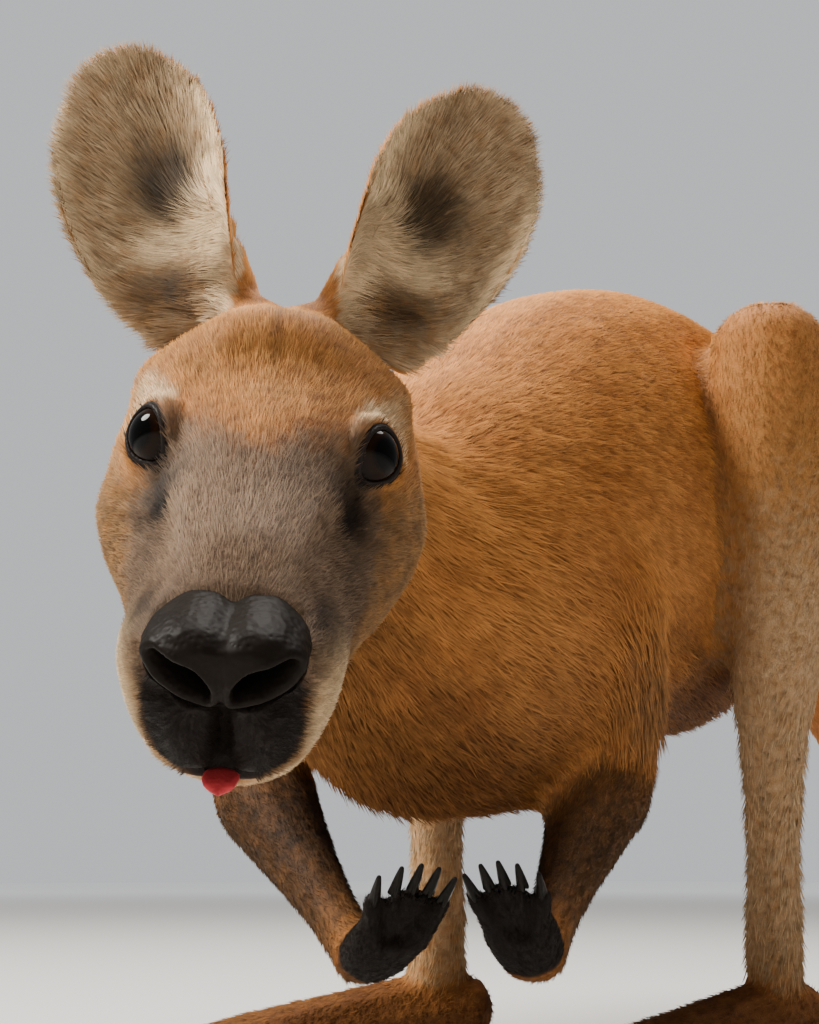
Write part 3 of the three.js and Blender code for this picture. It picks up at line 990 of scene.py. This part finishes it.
def unwrap(skin):
    """Unfolds the skin's own shape into its bake map."""
    skin.data.uv_layers.new(name="OFBake")
    edit_mesh(skin, bpy.ops.uv.smart_project, angle_limit=math.radians(75), island_margin=0.001)


class KANGAROO_OT_skin(bpy.types.Operator):
    """One skin over all the flesh, with the folds and lids of the face"""

    bl_idname = "kangaroo.skin"
    bl_label = "Skin"

    def execute(self, context):
        skin = melt_flesh()
        soften(skin)
        thin_out(skin)
        join_ears(skin)
        refine_face(skin)
        coat = sizes("coat")
        points = points_of(skin)
        region = nearest_nodes(points)
        lengths = np.array([getattr(coat, REGIONS[n].length) for n in FLESH])[region]
        local = HEAD.inside(points)
        on_head = part_of(region, *HEAD_NODES)
        muzzle = smooth_step(140, 172, local[:, 0])
        lengths = np.where(on_head, lengths + (coat.muzzle - lengths) * muzzle, lengths)
        lengths = averaged(lengths, skin, 12) * (1 - 0.55 * ear_rims(local)) * thigh_ruff(points, region)
        local = shape_face(local)
        move_points(skin, HEAD.outside(local))
        normals = normals_of(skin) @ HEAD.axes.T
        move_points(skin, HEAD.outside(open_mouth(local, normals)))
        ears = averaged(part_of(region, "ear"), skin, 4)
        slim = averaged(part_of(region, "forearm"), skin, 16)
        depth = np.clip(lengths * 0.3, 0.0008, 0.006) * (1 - 0.8 * ears) + 0.0045 * slim**2
        depth = depth + 0.007 * leg_crease(skin, region, points)
        move_points(skin, points_of(skin) - normals_of(skin) * depth[:, None])
        points = part_fingers(points_of(skin), normals_of(skin))
        points = HEAD.outside(open_lids(HEAD.inside(points)))
        points[:, 2] = np.maximum(points[:, 2], SKIN_FLOOR)
        move_points(skin, points)
        normals = normals_of(skin)
        masks = ear_marks(points, normals, markings(skin, points, region, normals))
        for name, values in masks.items():
            store(skin, name, values)
        store(skin, "lay", lay_of_coat(skin, region, normals, points))
        store(skin, "hair", lengths)
        store(skin, "bare", bare_skin(points))
        store(skin, "region", region.astype(float))
        unwrap(skin)
        smooth_faces(skin)
        finish_piece(skin, "coat_rust", skin_material(), *FLESH)
        return {"FINISHED"}


# ---------------------------------------------------------------- materials


def finish_piece(piece, slot, material, *nodes):
    piece.data.materials.clear()
    piece.data.materials.append(material)
    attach(piece, "root")
    if nodes:
        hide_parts(*nodes)


def node_group(name, inputs, outputs):
    """An empty shader node group with named sockets, and its input and output nodes."""
    group = bpy.data.node_groups.new(name, "ShaderNodeTree")
    for label, kind, default in inputs:
        socket = group.interface.new_socket(label, in_out="INPUT", socket_type=f"NodeSocket{kind}")
        socket.default_value = default
    for label, kind in outputs:
        group.interface.new_socket(label, in_out="OUTPUT", socket_type=f"NodeSocket{kind}")
    return group, group.nodes.new("NodeGroupInput"), group.nodes.new("NodeGroupOutput")


def add(tree, kind, links=None, **values):
    """A node with its settings, and with its inputs linked or set by name or index."""
    node = tree.nodes.new(f"ShaderNode{kind}")
    for name, value in values.items():
        setattr(node, name, value)
    for key, value in (links or {}).items():
        socket = node.inputs[key]
        if isinstance(value, bpy.types.NodeSocket):
            tree.links.new(value, socket)
        else:
            socket.default_value = value
    return node


def mix(tree, share, first, second, blend="MIX"):
    inputs = {0: share, 6: first, 7: second}
    return add(tree, "Mix", inputs, data_type="RGBA", blend_type=blend).outputs[2]


def calculate(tree, operation, *values):
    return add(tree, "Math", dict(enumerate(values)), operation=operation).outputs[0]


def between(tree, value, source=(0, 1), target=(0, 1), **values):
    """A value moved from one range to another."""
    return add(tree, "MapRange", dict(enumerate((value, *source, *target))), **values).outputs[0]


def noise(tree, place, scale, detail, distortion=0.0):
    inputs = {"Vector": place, "Scale": scale, "Detail": detail, "Distortion": distortion}
    return add(tree, "TexNoise", inputs).outputs["Fac"]


def attribute(tree, name):
    return add(tree, "Attribute", attribute_name=name, attribute_type="GEOMETRY").outputs["Fac"]


def object_place(tree):
    return add(tree, "TexCoord").outputs["Object"]


def add_bump(tree, surface, height, strength, distance):
    bump = add(tree, "Bump", {"Height": height, "Strength": strength, "Distance": distance})
    tree.links.new(bump.outputs[0], surface.inputs["Normal"])


def coat_group():
    """The coat's markings: which colour shows where, with uneven patches and streaks."""
    if "Coat markings" in bpy.data.node_groups:
        return bpy.data.node_groups["Coat markings"]
    colours = sizes("colours")
    inputs = [(n.title(), "Color", (*getattr(colours, n), 1)) for n in ("rust", *MARKS)]
    tree, given, result = node_group("Coat markings", inputs, [("Color", "Color")])
    place = object_place(tree)
    wobble = calculate(tree, "ADD", noise(tree, place, 160, 2), -0.5)

    def edge(name, looseness=0.5):
        mask = calculate(tree, "MULTIPLY_ADD", wobble, looseness, attribute(tree, name))
        return between(tree, mask, (0.12, 0.88), interpolation_type="SMOOTHSTEP")

    deep = mix(tree, 1.0, given.outputs["Rust"], (0.62, 0.50, 0.42, 1), "MULTIPLY")
    drawn = add(tree, "Mapping", {"Vector": place, "Scale": (70.0, 26.0, 60.0)}).outputs[0]
    uneven = calculate(tree, "ADD", noise(tree, place, 14, 3), noise(tree, drawn, 1, 3, 0.4))
    colour = mix(tree, between(tree, uneven, (0.80, 1.30), (0, 0.6)), given.outputs["Rust"], deep)
    for name in ("fawn", "grey", "cream"):
        colour = mix(tree, edge(name), colour, given.outputs[name.title()])
    lines = between(tree, noise(tree, drawn, 3.5, 3), (0.5, 0.72), (0, 0.55))
    colour = mix(tree, lines, colour, mix(tree, 1.0, colour, (0.5, 0.42, 0.36, 1), "MULTIPLY"))
    # The dark mask holds the muzzle's and paws' own black and painted shade.
    colour = mix(tree, edge("dark", 0.22), colour, given.outputs["Dark"])
    tree.links.new(colour, result.inputs["Color"])
    return tree


def coat_colour(tree):
    marks = tree.nodes.new("ShaderNodeGroup")
    marks.node_tree = coat_group()
    return marks.outputs["Color"]


def blank_material(name, roughness=0.5, specular=0.5):
    material = bpy.data.materials.new(name)
    material.use_nodes = True
    tree = material.node_tree
    surface = tree.nodes["Principled BSDF"]
    surface.inputs["Roughness"].default_value = roughness
    surface.inputs["Specular IOR Level"].default_value = specular
    return material, tree, surface


def skin_material():
    """Skin under the coat: the coat's markings, darker as painted shade under the hair, with a fine grain."""
    material, tree, surface = blank_material("Skin under the coat", 0.75, 0.2)
    # Painted shade under the hair: the skin is darker than the coat.
    dark_and_painted_shade = mix(tree, 1.0, coat_colour(tree), (0.72, 0.66, 0.62, 1), "MULTIPLY")
    tree.links.new(dark_and_painted_shade, surface.inputs["Base Color"])
    add_bump(tree, surface, noise(tree, object_place(tree), 900, 2), 0.4, 0.001)
    return material


def coat_material(name):
    """Hair: the coat's markings, darker at the root as the hair's own colour and as painted shade deep in the
    coat, paler at the tip and uneven from tuft to tuft.
    """
    if name in bpy.data.materials:
        return bpy.data.materials[name]
    material, tree, surface = blank_material(name, 0.65, 0.12)
    # Darker towards the root: the hair's own colour and painted shade deep in the coat.
    root = between(tree, attribute(tree, "along"), (0, 0.8), (0.58, 1.14))
    each = between(tree, attribute(tree, "shade"), target=(0.6, 1.34))
    level = calculate(tree, "MULTIPLY", root, each)
    tint = add(tree, "HueSaturation", {"Color": coat_colour(tree), "Value": level})
    tree.links.new(tint.outputs[0], surface.inputs["Base Color"])
    return material


def leather_material(name, colour, roughness, scale, depth=0.35):
    """Bare moist skin with fine pebbles."""
    material, tree, surface = blank_material(name, specular=0.05)
    place = object_place(tree)
    pebbles = add(tree, "TexVoronoi", {"Vector": place, "Scale": scale}, feature="SMOOTH_F1")
    patches = noise(tree, place, 120, 4)
    pale = tuple(min(1, c * 1.9 + 0.002) for c in colour)
    tree.links.new(mix(tree, patches, (*colour, 1), (*pale, 1)), surface.inputs["Base Color"])
    wet = between(tree, patches, (0.3, 0.7), (roughness * 0.75, roughness * 1.3))
    tree.links.new(wet, surface.inputs["Roughness"])
    add_bump(tree, surface, pebbles.outputs["Distance"], depth, 0.0006)
    return material


def nose_material():
    """Black moist leather with fine pebbles, and painted shade, blacker still, inside the nostrils."""
    material = leather_material("Nose leather", (0.006, 0.0042, 0.003), 0.34, 560, 0.5)
    tree = material.node_tree
    surface = tree.nodes["Principled BSDF"]
    colours = surface.inputs["Base Color"].links[0].from_socket
    # Painted shade: blacker inside the nostrils.
    inside = mix(tree, attribute(tree, "deep"), colours, (0.002, 0.0015, 0.0015, 1))
    tree.links.new(inside, surface.inputs["Base Color"])
    dry = between(tree, attribute(tree, "deep"), target=(0.46, 0.95))
    tree.links.new(dry, surface.inputs["Roughness"])
    return material


def eye_material():
    """A wet dark eye: black pupil, deep brown iris."""
    material, tree, surface = blank_material("Wet eye", 0.04, 0.08)
    ramp = add(tree, "ValToRGB", {0: attribute(tree, "from_pupil")})
    stops = ramp.color_ramp.elements
    stops[0].position, stops[0].color = 0.30, (0.002, 0.002, 0.002, 1)
    stops[1].position, stops[1].color = 0.42, (0.012, 0.005, 0.002, 1)
    for at, colour in (
        (0.62, (0.008, 0.004, 0.002, 1)),
        (0.72, (0.004, 0.003, 0.003, 1)),
        (0.95, (0.02, 0.013, 0.01, 1)),
    ):
        stops.new(at).color = colour
    tree.links.new(ramp.outputs["Color"], surface.inputs["Base Color"])
    return material


def claw_material():
    """Horn: near black and uneven, with fine ridges."""
    if "Claw horn" in bpy.data.materials:
        return bpy.data.materials["Claw horn"]
    material, tree, surface = blank_material("Claw horn", 0.3, 0.07)
    ridges = noise(tree, object_place(tree), 500, 3)
    colour = mix(tree, ridges, (0.004, 0.0035, 0.003, 1), (0.013, 0.011, 0.009, 1))
    tree.links.new(colour, surface.inputs["Base Color"])
    add_bump(tree, surface, ridges, 0.3, 0.0006)
    return material


# ---------------------------------------------------------------- the coat


@dataclass
class Coat:
    """One piece of the coat: where it grows and how its tufts are made."""

    nodes: tuple
    slot: str
    tufts: int
    width: float  # of a tuft, as a share of its length
    lift: float  # degrees that a tuft stands off the skin
    side: int = 0  # of the head: 1 left, -1 right, 0 both
    clump: float = 0.45  # how far tips are drawn together, as a share


COATS = {
    "coat_face_left": Coat(HEAD_NODES, "coat_face", 42000, 0.075, 12, side=1, clump=0.2),
    "coat_face_right": Coat(HEAD_NODES, "coat_face", 42000, 0.075, 12, side=-1, clump=0.2),
    "coat_ear_left": Coat(("ear_left",), "coat_ear", 22000, 0.048, 12, clump=0.25),
    "coat_ear_right": Coat(("ear_right",), "coat_ear", 22000, 0.048, 12, clump=0.25),
    "coat_neck": Coat(("neck",), "coat_rust", 22000, 0.075, 15),
    "coat_chest": Coat(("chest",), "coat_rust", 44000, 0.07, 15),
    "coat_loins": Coat(("loins",), "coat_rust", 38000, 0.07, 14),
    "coat_rump": Coat(("rump", "tail_base"), "coat_rust", 28000, 0.08, 14),
    "coat_thigh_left": Coat(("thigh_left",), "coat_rust", 23000, 0.07, 18, clump=0.6),
    "coat_thigh_right": Coat(("thigh_right",), "coat_rust", 15000, 0.10, 18, clump=0.6),
    "coat_shanks": Coat(
        ("shank_left", "shank_right", "foot_left", "foot_right"), "coat_limb", 32000, 0.085, 17, clump=0.6
    ),
    "coat_arms": Coat(
        ("upper_arm_left", "upper_arm_right", "forearm_left", "forearm_right", "hand_left", "hand_right"),
        "coat_limb",
        32000,
        0.075,
        14,
    ),
    "coat_tail": Coat(("tail_middle", "tail_tip"), "coat_rust", 10000, 0.11, 14),
}


class Surface:
    """The skin's triangles and what is stored on them, ready to grow tufts."""

    def __init__(self, skin):
        mesh = skin.data
        self.points = points_of(skin)
        self.normals = normals_of(skin)
        self.faces = read(mesh.loops, "vertex_index", 1).reshape(-1, 3)
        corners = self.points[self.faces]
        sides = corners[:, 1:] - corners[:, :1]
        self.area = np.linalg.norm(np.cross(sides[:, 0], sides[:, 1]), axis=1) / 2
        self.values = {n: stored(skin, n) for n in (*MARKS, "lay", "hair", "bare")}
        self.region = stored(skin, "region").round().astype(int)[self.faces[:, 0]]
        self.uv = read(mesh.uv_layers["OFBake"].data, "uv", 2).astype(float).reshape(-1, 3, 2)

    def at(self, values, face, mixing):
        """Values of the points at places in the faces."""
        return (values[self.faces[face]] * mixing.reshape(*mixing.shape, *[1] * (values.ndim - 1))).sum(1)


def scatter(surface, weight, count, random):
    """Faces and places in them, spread by area and weight."""
    chance = surface.area * weight
    face = random.choice(len(chance), count, p=chance / chance.sum())
    a, b = random.random((2, count))
    flip = a + b > 1
    a, b = np.where(flip, 1 - a, a), np.where(flip, 1 - b, b)
    return face, np.stack([1 - a - b, a, b], axis=1)


def clump_of(points, size, random):
    """A shared meeting place and shade for all roots in the same small cell."""
    cell = np.floor(points / size).astype(np.int64)
    code = np.bitwise_xor.reduce(cell * CELL_KEYS, axis=1) % CELLS
    offsets, shades = random.random((CELLS, 3)), random.random(CELLS)
    return (cell + offsets[code]) * size, shades[code]


def grow(surface, name, coat, random):
    """One piece of the coat: thin closed tufts that lie along the skin."""
    wanted = part_of(surface.region, *coat.nodes)
    middle = surface.points[surface.faces].mean(1)
    if coat.side:
        wanted &= np.sign(HEAD.inside(middle)[:, 1]) == coat.side
    hair = surface.values["hair"][surface.faces].mean(1)
    bare = surface.values["bare"][surface.faces].max(1)
    weight = wanted * (bare < 0.5) / hair**1.3
    count = coat.tufts // 1
    face, mixing = scatter(surface, weight, count, random)
    root = surface.at(surface.points, face, mixing)
    normal = unit(surface.at(surface.normals, face, mixing))
    lay = surface.at(surface.values["lay"], face, mixing)
    lay = unit(lay - normal * (lay * normal).sum(1, keepdims=True))
    length = surface.at(surface.values["hair"], face, mixing) * random.uniform(0.75, 1.2, count)
    side = np.cross(normal, lay)
    yaw = random.normal(0, 0.16, count)[:, None]
    lay = unit(lay + side * yaw)
    meeting, clump_shade = clump_of(root, np.median(length) * 0.7, random)
    lift = np.radians(coat.lift * random.uniform(0.55, 1.35, count))[:, None]
    aim = meeting - root
    aim -= lay * (aim * lay).sum(1, keepdims=True) + normal * (aim * normal).sum(1, keepdims=True)
    tip = root + (lay * np.cos(lift) + normal * np.sin(lift)) * length[:, None] + aim * coat.clump
    tip[:, 2] = np.maximum(tip[:, 2], TUFT_FLOOR)
    half = (length * coat.width / 2 * random.uniform(0.8, 1.25, count))[:, None]
    sink = normal * np.minimum(length * 0.06, 0.0006)[:, None]
    points = np.stack(
        [
            root - side * half - sink,
            root + side * half - sink,
            root + normal * half * 0.7 + lay * half,
            tip,
        ],
        axis=1,
    )
    faces = np.array([(2, 0, 3), (1, 2, 3), (0, 1, 3), (1, 0, 2)])
    faces = (faces[None] + 4 * np.arange(count)[:, None, None]).reshape(-1, 3)
    tuft = new_mesh(name, points.reshape(-1, 3), faces)
    for mark in MARKS:
        store(tuft, mark, np.repeat(surface.at(surface.values[mark], face, mixing), 4))
    shade = np.clip(0.5 * clump_shade + 0.5 * random.random(count), 0, 1)
    store(tuft, "shade", np.repeat(shade, 4))
    store(tuft, "along", np.tile([0.0, 0.0, 0.1, 1.0], count))
    corner = surface.uv[face]
    centre = (corner * mixing[..., None]).sum(1)
    patch = TUFT_PATCH * np.array([(-0.5, -0.5), (0.5, -0.5), (0.0, -1 / 6), (0.0, 0.5)])
    uv = (centre[:, None] + patch[None]).reshape(-1, 2)
    layer = tuft.data.uv_layers.new(name="OFBake")
    layer.data.foreach_set("uv", uv[faces.ravel()].astype(np.float32).ravel())
    smooth_faces(tuft)
    lean = np.stack([normal - side * 0.45, normal + side * 0.45, normal, unit(normal + lay * 0.25)], axis=1)
    tuft.data.normals_split_custom_set_from_vertices(unit(lean).reshape(-1, 3).astype(np.float32))
    return tuft


class KANGAROO_OT_coat(bpy.types.Operator):
    """The coat, piece by piece, in tufts that follow its lie"""

    bl_idname = "kangaroo.coat"
    bl_label = "Coat"

    def execute(self, context):
        surface = Surface(bpy.data.objects["skin"])
        for seed, (name, coat) in enumerate(COATS.items()):
            piece = grow(surface, name, coat, np.random.default_rng(seed + 11))
            finish_piece(piece, coat.slot, coat_material("Hair of the " + name.split("_")[1]))
        return {"FINISHED"}


# ---------------------------------------------------------------- eyes, nose, tongue, claws


class KANGAROO_OT_eyes(bpy.types.Operator):
    """Both eyes, with the dark moist edge of their lids"""

    bl_idname = "kangaroo.eyes"
    bl_label = "Eyes"

    def execute(self, context):
        for side, eye in EYES.items():
            self.ball(side, eye)
            self.lid_edge(side, eye)
        return {"FINISHED"}

    def ball(self, side, eye):
        deselect()
        bpy.ops.mesh.primitive_uv_sphere_add(segments=48, ring_count=32, radius=1)
        ball = bpy.context.object
        ball.name = ball.data.name = f"eyeball_{side}"
        points = points_of(ball)
        angle = np.arccos(np.clip(points[:, 2], -1, 1))
        bulge = 1 + 0.05 * np.exp(-((angle / 0.62) ** 4))
        axes = np.array([eye.ahead, np.cross(eye.look, eye.ahead), eye.look])
        local = eye.centre + (points * bulge[:, None]) @ axes * eye.radius
        move_points(ball, HEAD.outside(local))
        store(ball, "from_pupil", np.clip(angle / 1.3, 0, 1))
        smooth_faces(ball)
        finish_piece(ball, "eye", eye_material(), f"eye_{side}")

    def lid_edge(self, side, eye):
        around, ring = 64, 10
        turn = np.linspace(0, 2 * math.pi, around, endpoint=False)
        thick = sizes("body").lid_thickness / MM
        line = eye.edge(turn, eye.radius + 0.5)
        way = unit(np.roll(line, -1, 0) - np.roll(line, 1, 0))
        out = unit(line - eye.centre)
        across = np.cross(way, out)
        t = np.linspace(0, 2 * math.pi, ring, endpoint=False)
        ringed = (
            line[:, None]
            + across[:, None] * (np.cos(t) * thick * 1.3)[None, :, None]
            + out[:, None] * (np.sin(t) * thick)[None, :, None]
        )
        points = HEAD.outside(ringed.reshape(-1, 3))
        edge = new_mesh(f"lid_edge_{side}", points, ring_faces(around, ring, closed=True))
        edit_mesh(edge, bpy.ops.mesh.normals_make_consistent, inside=False)
        smooth_faces(edge)
        finish_piece(edge, "nose_skin", leather_material(f"Lid edge {side}", (0.012, 0.009, 0.008), 0.4, 900))


class KANGAROO_OT_nose(bpy.types.Operator):
    """The bare nose with its nostrils, and the tongue between the lips"""

    bl_idname = "kangaroo.nose"
    bl_label = "Nose and tongue"

    def execute(self, context):
        body = sizes("body")
        nose = copy_nodes("nose_pad", "nose")
        edit_mesh(nose, bpy.ops.mesh.convex_hull)
        modify(nose, "REMESH", mode="VOXEL", voxel_size=body.nose_grain, adaptivity=0)
        modify(nose, "SMOOTH", factor=0.8, iterations=16)
        local = lower_snout(HEAD.inside(points_of(nose)) * (1, 1.07, 1))
        local[:, 2] -= 0.16 * np.maximum(-2 - local[:, 2], 0)
        ahead = normals_of(nose) @ HEAD.axes.T
        local, deep = self.sculpt(local, ahead)
        move_points(nose, HEAD.outside(local))
        modify(nose, "SMOOTH", factor=0.5, iterations=3)
        store(nose, "deep", deep)
        smooth_faces(nose)
        finish_piece(nose, "nose_skin", nose_material(), "nose")
        tongue = copy_nodes("tongue_tip", "tongue")
        modify(tongue, "REMESH", mode="VOXEL", voxel_size=body.nose_grain, adaptivity=0)
        modify(tongue, "SMOOTH", factor=0.8, iterations=12)
        local = HEAD.inside(points_of(tongue))
        local[:, 1] *= 0.95 - 0.5 * smooth_step(176, 190, local[:, 0])
        local[:, 2] -= 1.5 * np.exp(-((local[:, 1] / 3) ** 2)) * smooth_step(176, 188, local[:, 0])
        move_points(tongue, HEAD.outside(local))
        smooth_faces(tongue)
        moist = leather_material("Tongue", (0.30, 0.028, 0.032), 0.35, 1100, 0.2)
        finish_piece(tongue, "tongue", moist, "tongue")
        return {"FINISHED"}

    def sculpt(self, local, ahead):
        """Two pads with a notch between them, and a large comma of a nostril on each side."""
        x, y, z = local.T
        across = abs(y)
        facing = smooth_step(-0.1, 0.35, ahead[:, 0])
        pads = np.exp(-(((across - 10) / 7) ** 2) - (((z - 4) / 5) ** 2))
        notch = np.exp(-((y / 3.0) ** 2)) * smooth_step(-2, 6, z)
        septum = np.exp(-((y / 1.0) ** 2)) * smooth_step(2, -4, z) * facing
        rise = 1.8 * pads - 1.2 * notch - 0.9 * septum
        # Places along the nostril, from its inner low end: across, height and half width.
        line = [(4.6, -12.6, 1.6), (6.4, -9.8, 3.4), (9.6, -7.2, 4.5), (13.2, -5.2, 4.0), (16.6, -2.6, 2.4)]
        line_y, line_z, half = curve_through(line, np.linspace(0, 1, 30)).T
        gap = (np.hypot(across[:, None] - line_y, z[:, None] - line_z) - half).min(1)
        rise += 1.0 * np.exp(-(((gap - 1.2) / 1.3) ** 2)) * facing
        depth = 9.0 * smooth_step(0.6, -2.4, gap) * facing
        inward = np.stack([-np.ones(len(x)), -0.25 * np.sign(y), np.full(len(x), 0.15)], axis=1)
        return local + ahead * rise[:, None] + inward * depth[:, None], smooth_step(0.0, -1.6, gap) * facing


class KANGAROO_OT_claws(bpy.types.Operator):
    """Every claw, rounded off"""

    bl_idname = "kangaroo.claws"
    bl_label = "Claws"

    def execute(self, context):
        for node in sorted(n for n in NODES if "claw" in n):
            claw = copy_nodes(node.replace("_claw", "") + "_nail", node)
            modify(claw, "SUBSURF", levels=2, render_levels=2)
            modify(claw, "DISPLACE", strength=0.0007, mid_level=0, direction="NORMAL")
            smooth_faces(claw)
            finish_piece(claw, "claw", claw_material(), node)
        return {"FINISHED"}


# ---------------------------------------------------------------- the stage


class KANGAROO_OT_stage(bpy.types.Operator):
    """A pale floor, soft lights and the camera"""

    bl_idname = "kangaroo.stage"
    bl_label = "Stage"

    def execute(self, context):
        stage = sizes("stage")
        self.floor()
        eyes = (centre_of("eye_left") + centre_of("eye_right")) / 2
        self.camera(stage, eyes)
        target = Vector(((CAD_BOX[0][0] + CAD_BOX[1][0]) / 2, -0.25, 0.3))
        self.light("key", Vector((-0.7, -2.9, 2.7)), target, 1.3, stage.key_power * 9.6, (1, 0.96, 0.90))
        self.light("top", Vector((0.2, -0.2, 2.5)), target, 1.8, stage.key_power * 3.8, (1, 0.97, 0.93))
        world = bpy.data.worlds.new("Pale studio")
        bpy.context.scene.world = world
        world.use_nodes = True
        tree = world.node_tree
        backdrop = tree.nodes["Background"]
        backdrop.inputs["Color"].default_value = (0.86, 0.88, 0.90, 1)
        # The backdrop is even, and lights the animal mostly from beyond it and above.
        way = add(tree, "TexCoord").outputs["Generated"]
        beyond = add(tree, "VectorMath", {0: way, 1: (-0.70, 0.58, 0.42)}, operation="DOT_PRODUCT")
        bright = between(tree, beyond.outputs["Value"], (-0.7, 0.75), (0.09, 0.38))
        seen = add(tree, "LightPath").outputs["Is Camera Ray"]
        strength = between(tree, seen, target=(bright, 0.72))
        tree.links.new(strength, backdrop.inputs["Strength"])
        return {"FINISHED"}

    def floor(self):
        deselect()
        bpy.ops.mesh.primitive_plane_add(size=30)
        floor = bpy.context.object
        floor.name = "floor"
        material, tree, surface = blank_material("Pale floor", 0.8)
        surface.inputs["Base Color"].default_value = (0.60, 0.585, 0.56, 1)
        surface.inputs["Emission Color"].default_value = (0.86, 0.88, 0.90, 1)
        # The floor glows softly far away, where it meets the backdrop.
        away = add(tree, "VectorMath", {0: object_place(tree)}, operation="LENGTH").outputs["Value"]
        glow = between(tree, away, (1.2, 8.0), (0, 0.56), interpolation_type="SMOOTHSTEP")
        tree.links.new(glow, surface.inputs["Emission Strength"])
        floor.data.materials.append(material)

    def camera(self, stage, eyes):
        camera = bpy.data.cameras.new("camera")
        camera.lens = stage.lens
        camera.sensor_width = 36
        obj = new_object("camera", camera)
        obj.location = eyes + Vector((0.2750, -0.1660, -0.1374))
        level = Vector((-math.cos(stage.look_right), math.sin(stage.look_right), 0))
        look = level * math.cos(stage.look_up) + Vector((0, 0, math.sin(stage.look_up)))
        obj.rotation_euler = look.to_track_quat("-Z", "Y").to_euler()
        bpy.context.scene.camera = obj

    def light(self, name, at, target, size, power, colour):
        light = bpy.data.lights.new(name, "AREA")
        light.shape = "DISK"
        light.size = size
        light.energy = power
        light.color = colour
        obj = new_object(name, light)
        obj.location = at
        obj.rotation_euler = (target - at).to_track_quat("-Z", "Y").to_euler()


# ---------------------------------------------------------------- panel and registration

OPERATORS = (
    KANGAROO_OT_skin,
    KANGAROO_OT_coat,
    KANGAROO_OT_eyes,
    KANGAROO_OT_nose,
    KANGAROO_OT_claws,
    KANGAROO_OT_stage,
)


class KANGAROO_PT_panel(bpy.types.Panel):
    bl_idname = "KANGAROO_PT_panel"
    bl_label = "Kangaroo"
    bl_space_type = "VIEW_3D"
    bl_region_type = "UI"
    bl_category = "Kangaroo"

    def draw(self, context):
        for name, group in GROUPS.items():
            column = self.layout.column(align=True)
            for setting in group.__annotations__:
                column.prop(getattr(context.scene, f"kangaroo_{name}"), setting)
        for operator in OPERATORS:
            self.layout.operator(operator.bl_idname)


def register():
    for cls in (*GROUPS.values(), *OPERATORS, KANGAROO_PT_panel):
        bpy.utils.register_class(cls)
    for name, group in GROUPS.items():
        setattr(bpy.types.Scene, f"kangaroo_{name}", PointerProperty(type=group))


def unregister():
    for name in GROUPS:
        delattr(bpy.types.Scene, f"kangaroo_{name}")
    for cls in reversed((*GROUPS.values(), *OPERATORS, KANGAROO_PT_panel)):
        bpy.utils.unregister_class(cls)


def main():
    register()
    for operator in OPERATORS:
        section, action = operator.bl_idname.split(".")
        getattr(getattr(bpy.ops, section), action)()


if __name__ == "__main__":
    main()
